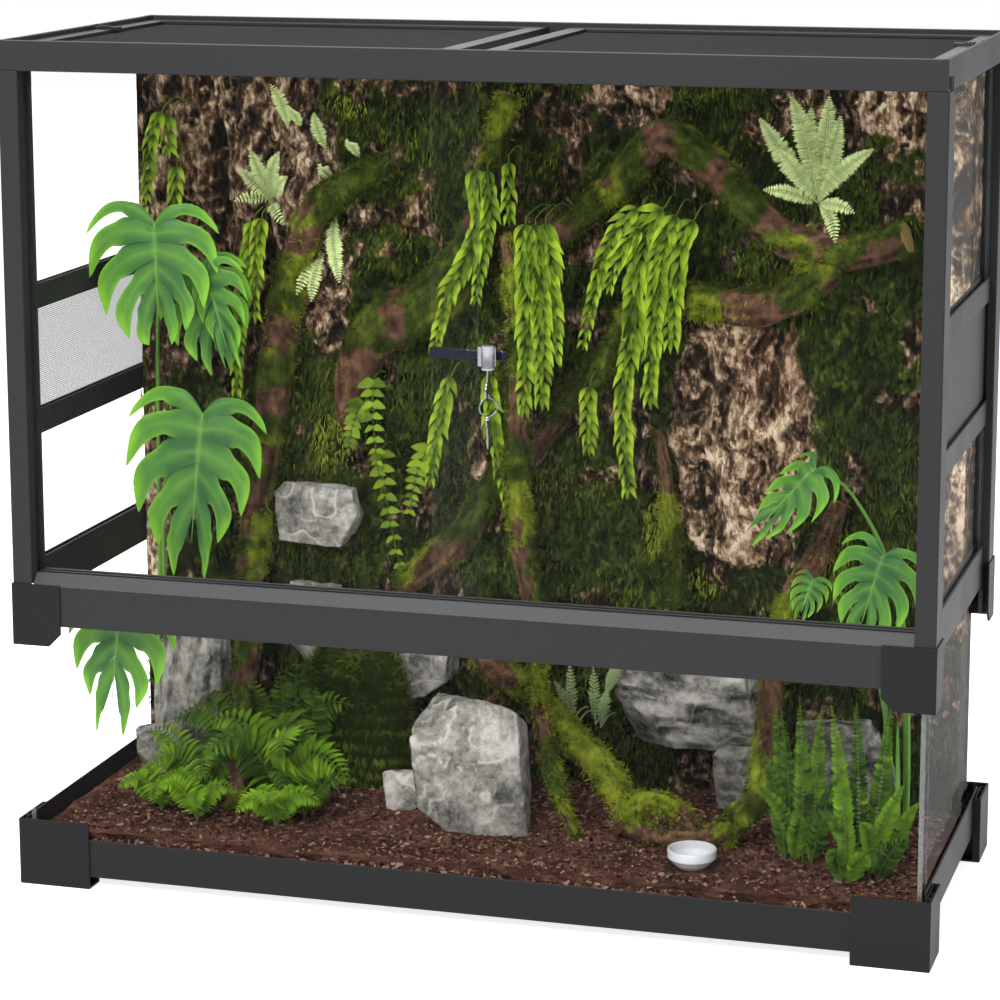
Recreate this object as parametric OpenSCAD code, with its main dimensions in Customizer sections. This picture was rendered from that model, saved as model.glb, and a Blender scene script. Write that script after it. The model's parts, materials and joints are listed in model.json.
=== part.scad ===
// Planted glass terrarium. Four corner shoes carry a low glazed band, a middle rail and four posts.
// Above the middle rail are two sliding doors with a ratchet lock, a mesh vent in each end and
// two mesh lids that lift out of the rim.
// Origin on the ground under the middle. +X is to the right, +Y to the back, +Z up. Millimetres.

/* [Overall] */
// Width over the corner shoes
total_w = 1000; // [900:10:1250]
// Depth over the corner shoes
total_d = 420; // [400:10:520]
// Height to the top of the rim
total_h = 920; // [860:10:1150]
// Height of the lower edge of the front middle rail
mid_z = 292; // [250:2:350]

/* [Glass] */
// Thickness of the fixed panes
glass_t = 5; // [4:0.5:6]
// Thickness of the two doors
door_t = 5; // [4:0.5:6]
// Room on each side of a pane in its groove
glass_play = 0.3; // [0.2:0.1:0.5]
// How far a pane reaches into a post or the rim
glass_bite = 5; // [4:0.5:6]

/* [Rails] */
// Height of the front and back base rails
base_rail_h = 42; // [36:1:50]
// Height of the front base rail above the ground
base_rail_z = 13; // [10:1:18]
// Height of the ledge that the bottom pane lies on
ledge_z = 27; // [24:1:32]
// Height of the side rails, base and middle
side_rail_h = 45; // [40:1:52]
// Height of the front face of the middle rail
mid_rail_h = 44; // [40:1:52]
// How much higher the side rails of the middle frame start
side_rise = 21; // [18:1:26]
// Rise of the sloped sill in front of the doors
sill_rise = 12; // [8:1:16]
// Thickness of a rail's outer wall
rail_wall = 2.5; // [2:0.1:3]
// Thickness of a rail's inner ribs and floors
rib_t = 2; // [1.6:0.1:3]
// Depth of the grooves that the doors run in
track_depth = 10; // [8:1:14]
// How far the front rail stands back from the shoes
rail_in = 2.7; // [2.5:0.1:4]
// How far the side rails stand back from the shoes
side_in = 8.2; // [7:0.1:10]

/* [Posts and rim] */
// Width of a post seen from the front
post_w = 22; // [20:1:30]
// Depth of a post seen from the side
post_d = 38; // [38:1:48]
// Wall of a post
post_wall = 2.2; // [1.8:0.1:3]
// How far the posts stand back from the shoes
post_in = 1.5; // [1:0.1:3]
// Height of the rim
rim_h = 32; // [28:1:40]
// Wall of the rim round the lids
rim_wall = 5; // [4:0.5:7]
// Width of the rim at the sides and the back
rim_w = 24; // [20:1:32]
// How far the rim stands back from the shoes
rim_in = 3; // [2:0.1:4]
// Depth of the rebate that the lids lie in
rebate = 14; // [12:1:18]

/* [Corner shoes] */
// Height of a base corner shoe
shoe_h = 74; // [60:1:90]
// Length of its front leg
shoe_front = 82; // [70:1:100]
// Length of its side leg
shoe_side = 63; // [50:1:80]
// Wall of every corner fitting
shoe_wall = 2.5; // [2:0.1:2.5]
// Height of a middle corner fitting
mid_fit_h = 68; // [60:1:80]
// Length of its front leg
mid_fit_front = 56; // [48:1:70]
// Length of its side leg
mid_fit_side = 45; // [42:1:60]
// Height of the spigots that plug into a post
spigot_h = 20; // [12:1:30]

/* [Doors and lock] */
// Distance from the rail's face to the front door
door_front = 16; // [15:0.5:18]
// Gap between the two doors
door_gap = 5; // [4.5:0.5:7]
// Right edge of the left door
door_edge = 20; // [10:1:30]
// Overlap of the two doors
door_lap = 53; // [40:1:70]
// Height of the lock above the ground
lock_z = 607; // [560:1:660]
// Radius of the lock's barrel
barrel_r = 7; // [6.5:0.5:8]
// Height of the lock's barrel
barrel_h = 26; // [22:1:32]
// Height of the toothed bar
bar_h = 10; // [8:1:12]
// Thickness of the toothed bar
bar_t = 1.5; // [1.2:0.1:2]
// Pitch of the bar's teeth
tooth_pitch = 4; // [3:0.5:6]
// Radius of the key's bow
bow_r = 10.5; // [9:0.5:11]

/* [Vents and lids] */
// Height of the lower vent bar's underside
vent_z = 494; // [450:2:540]
// Height of the mesh that shows between the vent bars
vent_open = 109; // [80:1:130]
// Height of a vent bar
vent_bar_h = 27; // [22:1:34]
// Meshes along and up a vent panel
vent_count = [18, 7];
// Meshes along and across a lid panel
lid_count = [12, 10];
// Width of a lid's frame
lid_bar = 20; // [16:1:28]
// Thickness of a lid's frame
lid_t = 9; // [8:0.5:11]
// Gap between the two lids
lid_gap = 28; // [20:1:40]
// Thickness of the mesh
mesh_t = 1.2; // [0.8:0.1:1.6]
// Width of a mesh strand
strand = 2.4; // [1.6:0.1:4]
// Place of the lid latches from the middle
latch_y = 40; // [0:5:100]

/* [Planting] */
// Height of the top of the soil
soil_z = 62; // [56:1:90]
// Thickness of the moulded back wall
wall_t = 94; // [70:1:110]
// Diameter of the water dish
dish_d = 52; // [40:1:80]
// Distance of the dish to the right of the middle
dish_x = 235; // [150:5:300]
// Its distance behind the middle
dish_y = -130; // [-150:5:-100]
// Height of the water dish
dish_h = 20; // [14:1:28]

/* [Hidden] */
$fn = 48;

// clearance between parts that plug together
fit = 0.2;
// clearance between parts that move past each other
run = 0.3;
dark = [0.2, 0.2, 0.21];
fitting = [0.17, 0.17, 0.175];
clear_glass = [0.8, 0.9, 0.88, 0.35];
bark = [0.36, 0.26, 0.18];
leaf_green = [0.2, 0.42, 0.14];

half_w = total_w / 2;
half_d = total_d / 2;
// distances inwards from a rail's outer face
pane_near = rail_wall + glass_play;
pane_far = pane_near + glass_t;
groove_far = pane_far + glass_play;
// how far the bottom pane reaches under the side rails
pane_tuck = 1.5;
rib_far = groove_far + rib_t;
// outer faces of the rails, posts and rim
front_y = half_d - rail_in;
side_x = half_w - side_in;
rim_x = half_w - rim_in;
rim_y = half_d - rim_in;
// heights
base_rail_top = base_rail_z + base_rail_h;
floor_top = ledge_z + glass_t;
side_rail_z = floor_top;
side_pane_z = side_rail_z + 3;
mid_top = mid_z + mid_rail_h;
sill_z = mid_top + sill_rise;
track_z = sill_z - track_depth;
mid_side_z = mid_z + side_rise;
mid_side_top = mid_side_z + side_rail_h;
mid_fit_top = mid_top + 2;
rim_z = total_h - rim_h;
lid_z = total_h - rebate;
front_pane_top = mid_z + 18;
side_pane_top = mid_side_z + 14;
upper_bite = 8;
// doors, from the rail's face inwards
inner_front = door_front + door_t + door_gap;
doors_far = inner_front + door_t;
door_play = 0.8;
sill_far = doors_far + door_play + 5;
door_z = track_z + run;
door_top = rim_z + 12;
door_end = half_w - post_in - post_w + 4;
inner_edge = door_edge - door_lap;
// posts in the corner frame
post_x1 = post_in + post_w;
post_y1 = post_in + post_d;
post_len = rim_z - mid_fit_top;
side_near = side_in + pane_near;
side_far = side_in + pane_far;
rear_edge = half_d - post_y1;
// planting
soil_x = side_x - rib_far - 0.4;
soil_y = front_y - rib_far - 0.4;
wall_back = front_y - rib_far - 0.6;
wall_face = wall_back - wall_t;
wall_top = rim_z - 8;
wall_x = side_x - rib_far - 0.6;
wall_x_back = half_w - post_x1 - 2;

// a solid with a given outline in (inwards, up) that runs along X at the front
module run_x(length) {
    rotate([90, 0, 90]) linear_extrude(length, center = true) children();
}

// the same along Y at the left side
module run_y(length) {
    rotate([90, 0, 0]) linear_extrude(length, center = true) children();
}

module at_front(inset) {
    translate([0, -(half_d - inset), 0]) children();
}

module at_left(inset) {
    translate([-(half_w - inset), 0, 0]) children();
}

// the corner frame: x inwards along the front, y inwards along the side
module at_corner(sx, sy) {
    mirror([sx > 0 ? 1 : 0, 0, 0])
        mirror([0, sy > 0 ? 1 : 0, 0])
            translate([-half_w, -half_d, 0]) children();
}

module block(low, high) {
    translate(low) cube(high - low);
}

module rect(low, high) {
    translate(low) square(high - low);
}

// a rectangle with its outer corners taken off
module soft_rect(low, high, c = 0.8) {
    polygon([
        [low.x + c, low.y], [high.x - c, low.y], [high.x, low.y + c], [high.x, high.y - c],
        [high.x - c, high.y], [low.x + c, high.y], [low.x, high.y - c], [low.x, low.y + c]
    ]);
}

// Base frame

module base_rail_outline() {
    difference() {
        soft_rect([0, base_rail_z], [rail_wall, base_rail_top], 0.6);
        rect([rail_wall / 2, base_rail_z - 1], [rail_wall + 1, base_rail_z]);
    }
    rect([rail_wall / 2, base_rail_z], [rib_far + 11, base_rail_z + 3]);
    rect([groove_far, base_rail_z + 3], [rib_far, ledge_z]);
    rect([groove_far, ledge_z - rib_t], [rib_far + 11, ledge_z]);
    rect([rib_far + 11 - rib_t, base_rail_z + 3], [rib_far + 11, ledge_z - rib_t]);
}

module base_rail_x() {
    length = total_w - 2 * (shoe_wall + 24.5);
    color(dark) at_front(rail_in) run_x(length) base_rail_outline();
}

module base_side_outline() {
    soft_rect([0, side_rail_z], [rail_wall, side_rail_z + side_rail_h], 0.6);
    rect([rail_wall / 2, side_rail_z], [rib_far, side_rail_z + 3]);
    rect([groove_far, side_rail_z + 3], [rib_far, side_rail_z + 18]);
}

module base_rail_y() {
    length = total_d - 2 * (shoe_wall + 24.5);
    color(dark) at_left(side_in) run_y(length) base_side_outline();
}

// an open-topped moulded shoe: outer skin, guide wall for the side rail, fins and bearing ribs
module corner_shoe() {
    leg = 27;
    lip = side_in - fit;
    color(fitting) {
        difference() {
            union() {
                block([0, 0, 0], [shoe_front, leg, shoe_h]);
                block([0, 0, 0], [leg, shoe_side, shoe_h]);
            }
            // the well for the rails and panes, open upwards and at both leg ends
            block([shoe_wall, shoe_wall, shoe_wall], [shoe_front + 1, leg - shoe_wall, shoe_h + 1]);
            block([shoe_wall, shoe_wall, shoe_wall], [leg - shoe_wall, shoe_side + 1, shoe_h + 1]);
            // the inner walls end under the bottom pane
            block([leg - shoe_wall - 1, leg - shoe_wall - 1, ledge_z - 1], [shoe_front + 1, leg + 1, shoe_h + 1]);
            block([leg - shoe_wall - 1, leg - shoe_wall - 1, ledge_z - 1], [leg + 1, shoe_side + 1, shoe_h + 1]);
        }
        // guide wall beside the side rail, tied to the skin by fins
        block([lip - 2, leg - 12, shoe_wall], [lip, shoe_side, shoe_h]);
        for (y = [leg - 12, leg + 4, shoe_side - shoe_wall])
            block([shoe_wall, y, shoe_wall], [lip - 1, y + shoe_wall, shoe_h]);
        // ribs that carry the front rail
        for (x = [leg + 6 : 16 : shoe_front - 4])
            block([x, shoe_wall, shoe_wall], [x + 2, leg - shoe_wall, base_rail_z]);
        // ribs that carry the side rail and, lower down, the bottom pane
        for (y = [leg + 6 : 14 : shoe_side - 3]) {
            block([lip - 1, y, shoe_wall], [side_in + rib_far - pane_tuck - fit, y + 2, side_rail_z]);
            block([side_in + rib_far - pane_tuck - 1, y, shoe_wall], [leg - shoe_wall, y + 2, ledge_z]);
        }
    }
}

module bottom_pane() {
    x = side_x - rib_far + pane_tuck;
    y = front_y - groove_far;
    color(clear_glass) difference() {
        block([-x, -y, ledge_z], [x, y, floor_top]);
        for (sx = [-1, 1], sy = [-1, 1])
            translate([sx * x, sy * y, ledge_z - 1]) cylinder(r = 8, h = glass_t + 2);
    }
}

module lower_pane_x() {
    x = half_w - shoe_wall - 4.5;
    color(clear_glass) at_front(rail_in)
        block([-x, pane_near, base_rail_z + 3], [x, pane_far, front_pane_top]);
}

module lower_pane_y() {
    y = front_y - pane_far - run;
    color(clear_glass) at_left(side_in)
        block([pane_near, -y, side_pane_z], [pane_far, y, side_pane_top]);
}

// Middle frame

// a rail with a groove below and another above, for the sides and the back
module double_groove(low, high, below, above) {
    soft_rect([0, low], [rail_wall, high], 0.6);
    rect([groove_far, low], [rib_far, high]);
    rect([rail_wall / 2, low + below + fit], [rib_far, low + below + fit + rib_t]);
    rect([rail_wall / 2, high - above - rib_t - fit], [rib_far, high - above - fit]);
}

module mid_rail_outline() {
    difference() {
        polygon([
            [0, mid_z + 0.6], [0.6, mid_z], [rail_wall, mid_z],
            [rail_wall, front_pane_top + fit], [groove_far, front_pane_top + fit],
            [groove_far, mid_z + 8], [rib_far, mid_z + 8], [rib_far, track_z - 14],
            [sill_far, track_z - 8], [sill_far, sill_z], [sill_rise, sill_z], [0, mid_top]
        ]);
        // the two door tracks
        for (d = [door_front, inner_front])
            rect([d - door_play, track_z], [d + door_t + door_play, sill_z + 1]);
        // hollow behind the face
        rect([rail_wall, front_pane_top + fit + rib_t], [rib_far, track_z - 5]);
    }
}

module mid_rail_front() {
    length = total_w - 2 * (post_x1 + fit);
    color(dark) at_front(rail_in) run_x(length) mid_rail_outline();
}

module mid_rail_back() {
    length = total_w - 2 * (post_x1 + fit);
    color(dark) mirror([0, 1, 0]) at_front(rail_in) run_x(length)
        double_groove(mid_z, mid_top, front_pane_top - mid_z, upper_bite);
}

module mid_rail_y() {
    length = 2 * (rear_edge - fit);
    color(dark) at_left(side_in) run_y(length)
        double_groove(mid_side_z, mid_side_top, side_pane_top - mid_side_z, upper_bite);
}

// a cover with two skins, a bearing plate under the post and a spigot that plugs into it
module mid_corner() {
    low = mid_fit_top - mid_fit_h;
    cut = 14;
    color(fitting) {
        rotate([90, 0, 0]) translate([0, 0, -shoe_wall]) linear_extrude(shoe_wall) polygon([
            [0, low], [mid_fit_front - cut, low], [mid_fit_front, low + cut],
            [mid_fit_front, mid_fit_top], [0, mid_fit_top]
        ]);
        rotate([90, 0, 90]) linear_extrude(shoe_wall) polygon([
            [0, low], [mid_fit_side - cut, low], [mid_fit_side, low + cut],
            [mid_fit_side, mid_fit_top], [0, mid_fit_top]
        ]);
        block([1, 1, mid_fit_top - 3], [post_x1 - glass_bite - fit, post_y1, mid_fit_top]);
        block([post_in + post_wall + run, post_in + post_wall + run, mid_fit_top - 1],
              [side_far - run, post_y1 - 9.5, mid_fit_top + spigot_h]);
        // fins that keep the panes in line
        for (y = [16, 26])
            block([1, y, mid_fit_top - 34], [side_near - run, y + 2, mid_fit_top - 2]);
        for (x = [12, 19])
            block([x, 1, mid_fit_top - 34], [x + 2, rail_in + pane_near - run, mid_fit_top - 2]);
    }
}

// Posts

// the hollow section of a post, in the corner frame; slot is the groove in its inner face
module post_outline(slot) {
    difference() {
        soft_rect([post_in, post_in], [post_x1, post_y1], 1);
        rect([post_in + post_wall, post_in + post_wall], [side_far, post_y1 - 9]);
        rect([post_x1 - glass_bite, slot[0]], [post_x1 + 1, slot[1]]);
        rect([side_near - glass_play, post_y1 - 6], [side_far + glass_play, post_y1 + 1]);
    }
}

module post(slot) {
    color(dark) translate([0, 0, mid_fit_top]) linear_extrude(post_len) post_outline(slot);
}

door_slot = [rail_in + door_front - door_play, rail_in + doors_far + door_play];
back_slot = [rail_in + pane_near - glass_play, rail_in + groove_far];

// Rim

module spigots(y0, y1) {
    x0 = half_w - post_in - post_wall - run;
    for (s = [0, 1]) mirror([s, 0, 0])
        block([-x0, y0, rim_z - spigot_h], [-(half_w - side_far + run), y1, rim_z + 1]);
}

// in (inwards, up) from the rim's outer face
module rim_outline(width, slots, hollow) {
    difference() {
        union() {
            soft_rect([0, rim_z], [rim_wall, total_h], 0.8);
            rect([rim_wall / 2, rim_z], [width, lid_z]);
        }
        for (s = slots) rect([s[0], rim_z - 1], [s[1], rim_z + s[2]]);
        rect([hollow[0], rim_z + 2.5], [hollow[1], lid_z - 2.5]);
    }
}

front_rim_w = sill_far;
slip = rim_in - rail_in;
rim_front_slots = [
    for (d = [door_front, inner_front]) [d - door_play - slip, d + door_t + door_play - slip, 14]
];

module rim_ends(width) {
    for (s = [-1, 1])
        block([s > 0 ? rim_x - rim_wall : -rim_x, 0, lid_z - 1], [s > 0 ? rim_x : rim_wall - rim_x, width, total_h]);
}

module top_rail_front() {
    color(dark) {
        difference() {
            at_front(rim_in) {
                run_x(2 * rim_x) rim_outline(front_rim_w, rim_front_slots, [2.5, door_front - door_play - 3]);
                rim_ends(front_rim_w);
            }
            // room for the front corners of the end panes
            for (s = [0, 1]) mirror([s, 0, 0])
                block([side_near - glass_play - half_w, -side_pane_len - run, rim_z - 1],
                      [side_far + glass_play - half_w, -rear_edge + 3, rim_z + 12]);
        }
        spigots(-half_d + post_in + post_wall + run, -half_d + post_y1 - 9 - run);
    }
}

module top_rail_back() {
    color(dark) mirror([0, 1, 0]) {
        at_front(rim_in) {
            run_x(2 * rim_x) rim_outline(rim_w, [[back_slot[0] - rim_in, back_slot[1] - rim_in, 12]], [11, rim_w - 2.5]);
            rim_ends(rim_w);
        }
        spigots(-half_d + post_in + post_wall + run, -half_d + rim_in + rim_w - 1);
    }
}

module top_rail_y() {
    y0 = -rim_y + front_rim_w;
    y1 = rim_y - rim_w;
    near = side_near - glass_play - rim_in;
    far = side_far + glass_play - rim_in;
    color(dark) difference() {
        translate([0, (y0 + y1) / 2, 0]) at_left(rim_in) run_y(y1 - y0)
            rim_outline(rim_w, [[near, far, 12]], [far + 2.5, rim_w - 2.5]);
        // keeper for the lid latch, open upwards
        translate([-rim_x + rim_wall - 3.2, latch_y - 5.6, total_h - 6.7]) cube([4, 11.2, 8]);
    }
}

module lid_support_bar() {
    y0 = -rim_y + front_rim_w;
    y1 = rim_y - rim_w;
    w = lid_gap + 24;
    color(dark) translate([0, (y0 + y1) / 2, 0]) run_y(y1 - y0) difference() {
        soft_rect([-w / 2, lid_z - 12], [w / 2, lid_z]);
        rect([-w / 2 + 2.5, lid_z - 13], [w / 2 - 2.5, lid_z - 3]);
    }
}

// Upper panes and vents

vent_top_z = vent_z + vent_bar_h + vent_open;
side_pane_len = rear_edge + glass_bite;

module back_pane() {
    x = half_w - post_x1 + glass_bite - 1;
    color(clear_glass) mirror([0, 1, 0]) at_front(rail_in)
        block([-x, pane_near, mid_top - upper_bite], [x, pane_far, rim_z + 10]);
}

module side_panes() {
    color(clear_glass) at_left(side_in) {
        block([pane_near, -side_pane_len, mid_side_top - upper_bite], [pane_far, side_pane_len, vent_z + upper_bite]);
        block([pane_near, -side_pane_len, vent_top_z + vent_bar_h - upper_bite],
              [pane_far, side_pane_len, rim_z + 10]);
    }
}

module vent_bars() {
    color(dark) at_left(side_in) for (z = [vent_z, vent_top_z])
        run_y(2 * (rear_edge - fit)) double_groove(z, z + vent_bar_h, upper_bite, upper_bite);
}

// a flat sheet with a grid of square holes, in (along, across)
module net(size, count, edge) {
    pitch = [(size.x - 2 * edge) / count[0], (size.y - 2 * edge) / count[1]];
    linear_extrude(mesh_t, center = true) difference() {
        translate([-size.x / 2, -size.y / 2]) square(size);
        for (i = [0 : count[0] - 1], j = [0 : count[1] - 1])
            translate([-size.x / 2 + edge + (i + 0.5) * pitch.x, -size.y / 2 + edge + (j + 0.5) * pitch.y])
                square([pitch.x - strand, pitch.y - strand], center = true);
    }
}

module vent_mesh() {
    low = vent_z + vent_bar_h - upper_bite + fit;
    high = vent_top_z + upper_bite - fit;
    color([0.55, 0.56, 0.57]) at_left(side_in)
        translate([(pane_near + pane_far) / 2, 0, (low + high) / 2])
            rotate([90, 0, 90]) net([2 * (rear_edge - fit), high - low], vent_count, upper_bite);
}

// Doors

module door_left() {
    color(clear_glass) at_front(rail_in)
        block([-door_end, door_front, door_z], [door_edge, door_front + door_t, door_top]);
}

module door_right() {
    color(clear_glass) at_front(rail_in)
        block([inner_edge, inner_front, door_z], [door_end, doors_far, door_top]);
}

// Lock

lock_x = door_edge + bow_r + 1;
lock_y = -front_y + inner_front - 12;
bar_y = -front_y + inner_front - run - bar_t;
inner_y = -front_y + inner_front;
bar_end = lock_x + 17;

// a strip hooked round the edge of the inner door, with saw teeth along its upper edge
module ratchet_bar() {
    x0 = inner_edge - run - bar_t;
    teeth = floor((bar_end - 1) / tooth_pitch);
    first = bar_end - teeth * tooth_pitch;
    color([0.75, 0.76, 0.78]) {
        translate([0, bar_y + bar_t, 0]) rotate([90, 0, 0]) linear_extrude(bar_t) polygon(concat(
            [[x0, lock_z + bar_h / 2], [x0, lock_z - bar_h / 2], [bar_end, lock_z - bar_h / 2]],
            [for (i = [0 : teeth - 1]) each [
                [bar_end - i * tooth_pitch, lock_z + bar_h / 2 - 1.6],
                [bar_end - (i + 1) * tooth_pitch, lock_z + bar_h / 2]
            ]],
            [[first - 0.5, lock_z + bar_h / 2]]
        ));
        block([x0, bar_y, lock_z - bar_h / 2], [x0 + bar_t, inner_y + door_t + run + bar_t, lock_z + bar_h / 2]);
        block([x0, inner_y + door_t + run, lock_z - bar_h / 2],
              [x0 + 14, inner_y + door_t + run + bar_t, lock_z + bar_h / 2]);
    }
}

module lock_body() {
    color([0.8, 0.81, 0.83]) difference() {
        union() {
            translate([lock_x, lock_y, lock_z - barrel_h / 2]) cylinder(r = barrel_r, h = barrel_h);
            for (z = [-1, 1])
                translate([lock_x, lock_y, lock_z + z * (barrel_h / 2 - 1.5) - 1.5])
                    cylinder(r = barrel_r + 0.6, h = 3);
            block([door_edge + 0.4, lock_y, lock_z - 10], [lock_x + 8, inner_y - run - 0.1, lock_z + 10]);
        }
        // the way for the bar
        block([door_edge, bar_y - run, lock_z - bar_h / 2 - run],
              [lock_x + 9, inner_y + 1, lock_z + bar_h / 2 + run]);
        // bore for the plug
        translate([lock_x, lock_y, lock_z - barrel_h / 2 - 1]) cylinder(r = 4.3, h = 19);
    }
}

module lock_plug() {
    color([0.85, 0.8, 0.6]) difference() {
        translate([lock_x, lock_y, lock_z - barrel_h / 2 - 0.5]) cylinder(r = 3.95, h = 18);
        block([lock_x - 1.1, lock_y - 3, lock_z - barrel_h / 2 - 1], [lock_x + 1.1, lock_y + 3, lock_z + 3]);
    }
}

// a flat key in the plane x = 0 with its bow round the origin and its blade up
module key_blank(bow, blade, hole_z) {
    rotate([90, 0, 90]) linear_extrude(1.8, center = true) difference() {
        union() {
            circle(r = bow);
            translate([-2.8, 0]) square([5.6, bow + blade]);
            translate([-4.5, 0]) square([9, bow + 6]);
        }
        translate([0, hole_z]) circle(r = 3);
        for (i = [0 : 2]) translate([2.8, bow + 9 + 4 * i]) rotate(45) square(1.6 + 0.4 * i, center = true);
    }
}

bow_z = lock_z - barrel_h / 2 - bow_r - 11.5;
bow_hole = -bow_r + 4.6;
ring_r = 9.5;
wire_r = 0.8;
ring_z = bow_z + bow_hole - 3 + wire_r + run - ring_r;
spare_z = ring_z - ring_r + wire_r + run - 3;

module lock_key() {
    color([0.75, 0.75, 0.76]) translate([lock_x, lock_y, bow_z])
        key_blank(bow_r, 26, bow_hole);
}

module key_ring() {
    color([0.8, 0.8, 0.82]) translate([lock_x, lock_y, ring_z]) rotate([90, 0, 35])
        rotate_extrude() translate([ring_r, 0]) circle(r = wire_r, $fn = 24);
}

module spare_key() {
    color([0.75, 0.75, 0.76]) translate([lock_x, lock_y, spare_z - 3.5]) mirror([0, 0, 1])
        key_blank(7.5, 20, -3.5);
}

// Lids

lid_x0 = rim_x - rim_wall - 1;
lid_y0 = rim_y - rim_wall - 1;
lid_in = lid_gap / 2;
net_z = lid_z + 4.5;

// the left lid; the right one is its mirror image
module lid_frame() {
    color(dark) difference() {
        block([-lid_x0, -lid_y0, lid_z], [-lid_in, lid_y0, lid_z + lid_t]);
        block([-lid_x0 + lid_bar, -lid_y0 + lid_bar, lid_z - 1], [-lid_in - lid_bar, lid_y0 - lid_bar, lid_z + lid_t + 1]);
        // groove for the mesh
        block([-lid_x0 + lid_bar - 4, -lid_y0 + lid_bar - 4, net_z - mesh_t / 2 - run],
              [-lid_in - lid_bar + 4, lid_y0 - lid_bar + 4, net_z + mesh_t / 2 + run]);
        // slideway of the latch
        block([-lid_x0 - 1, latch_y - 5.3, lid_z + lid_t - 1.5], [-lid_x0 + lid_bar + 1, latch_y + 5.3, lid_z + lid_t + 1]);
    }
}

module lid_mesh() {
    sx = lid_x0 - lid_in - 2 * lid_bar + 7.4;
    sy = 2 * (lid_y0 - lid_bar + 3.7);
    color([0.25, 0.25, 0.26]) translate([-(lid_x0 + lid_in) / 2, 0, net_z]) net([sx, sy], lid_count, 5);
}

module lid_latch() {
    z = lid_z + lid_t - 1.5 + run;
    x = -rim_x + rim_wall - 2.8;
    color([0.1, 0.1, 0.1]) {
        block([x, latch_y - 5, z], [x + 30, latch_y + 5, z + 4]);
        for (i = [0 : 2]) block([x + 8 + 4 * i, latch_y - 5, z + 3], [x + 10 + 4 * i, latch_y + 5, z + 5.2]);
    }
}

// Planting

module soil() {
    color([0.24, 0.14, 0.1]) block([-soil_x, -soil_y, floor_top], [soil_x, soil_y, soil_z]);
}

function wave(x) = 5 * sin(x * 1.9 + 20) + 4 * sin(x * 4.3) + 3 * sin(x * 7.7 + 60);

// the front of the wall seen from above: upright bark ridges
bark_steps = 48;
bark_line = [
    for (i = [0 : bark_steps]) let (x = -wall_x + 2 * wall_x * i / bark_steps) [x, wall_face + 12 + wave(x)]
];

// the moulded wall, stepped in at the posts
module back_wall() {
    color(bark) translate([0, 0, soil_z]) linear_extrude(wall_top - soil_z) polygon(concat(
        bark_line,
        [[wall_x, rear_edge - 2], [wall_x_back, rear_edge - 2], [wall_x_back, wall_back],
         [-wall_x_back, wall_back], [-wall_x_back, rear_edge - 2], [-wall_x, rear_edge - 2]]
    ));
}

// a split stone: three turned blocks cut from each other, flat underneath
module stone(size, turn, seed) {
    rotate(turn) intersection() {
        split_block(size, seed);
        translate([-size.x, -size.y, 0]) cube([2 * size.x, 2 * size.y, 2 * size.z]);
    }
}

module split_block(size, seed) {
    intersection() {
        rotate([8 + seed, -6, 12]) cube([size.x, size.y, 1.7 * size.z], center = true);
        rotate([-14, 20 + seed, 40]) cube([size.x * 1.02, size.y * 1.2, 1.9 * size.z], center = true);
        rotate([26, -12, -34 + seed]) cube([size.x * 1.1, size.y * 1.1, 2 * size.z], center = true);
    }
}

// place, size, turn about Z and character of each stone
stones = [
    [[-28, -70], [112, 66, 145], 8, 4],
    [[-112, -8], [60, 45, 42], 20, 9],
    [[-390, 52], [95, 66, 150], -12, 2],
    [[178, 58], [120, 56, 140], -8, 7],
    [[-451, 66], [36, 36, 40], 30, 5],
    [[368, 62], [110, 50, 115], 10, 3],
    [[-205, 55], [95, 60, 150], 5, 6]
];

module rocks() {
    color([0.5, 0.49, 0.46]) for (s = stones)
        translate([s[0].x, s[0].y, soil_z]) stone(s[1], s[2], s[3]);
}

// a tube of given radii along points, closed at both ends
function unit(v) = v / norm(v);
function tangent(p, i) = unit(p[min(i + 1, len(p) - 1)] - p[max(i - 1, 0)]);
function ring_at(p, r, i, sides, ref) =
    let (t = tangent(p, i), u = unit(cross(t, ref)), v = cross(t, u))
    [for (k = [0 : sides - 1]) p[i] + r[i] * (cos(360 * k / sides) * u + sin(360 * k / sides) * v)];

module tube(p, r, sides = 8, ref = [0.05, 1, 0.1]) {
    n = len(p);
    points = [for (i = [0 : n - 1]) each ring_at(p, r, i, sides, ref)];
    quads = [
        for (i = [0 : n - 2], k = [0 : sides - 1])
        let (a = i * sides + k, b = i * sides + (k + 1) % sides)
        each [[a, b + sides, b], [a, a + sides, b + sides]]
    ];
    ends = [
        for (k = [1 : sides - 2])
            each [[0, k, k + 1], [(n - 1) * sides, (n - 1) * sides + k + 1, (n - 1) * sides + k]]
    ];
    polyhedron(points, concat(quads, ends));
}

// points of a smooth curve through the given ones
function bend(p, i, t) =
    let (a = p[max(i - 1, 0)], b = p[i], c = p[i + 1], d = p[min(i + 2, len(p) - 1)])
    0.5 * (2 * b + (c - a) * t + (2 * a - 5 * b + 4 * c - d) * t * t + (3 * b - a - 3 * c + d) * t * t * t);
function smooth(p, steps) = concat(
    [for (i = [0 : len(p) - 2], s = [0 : steps - 1]) bend(p, i, s / steps)], [p[len(p) - 1]]
);

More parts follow.
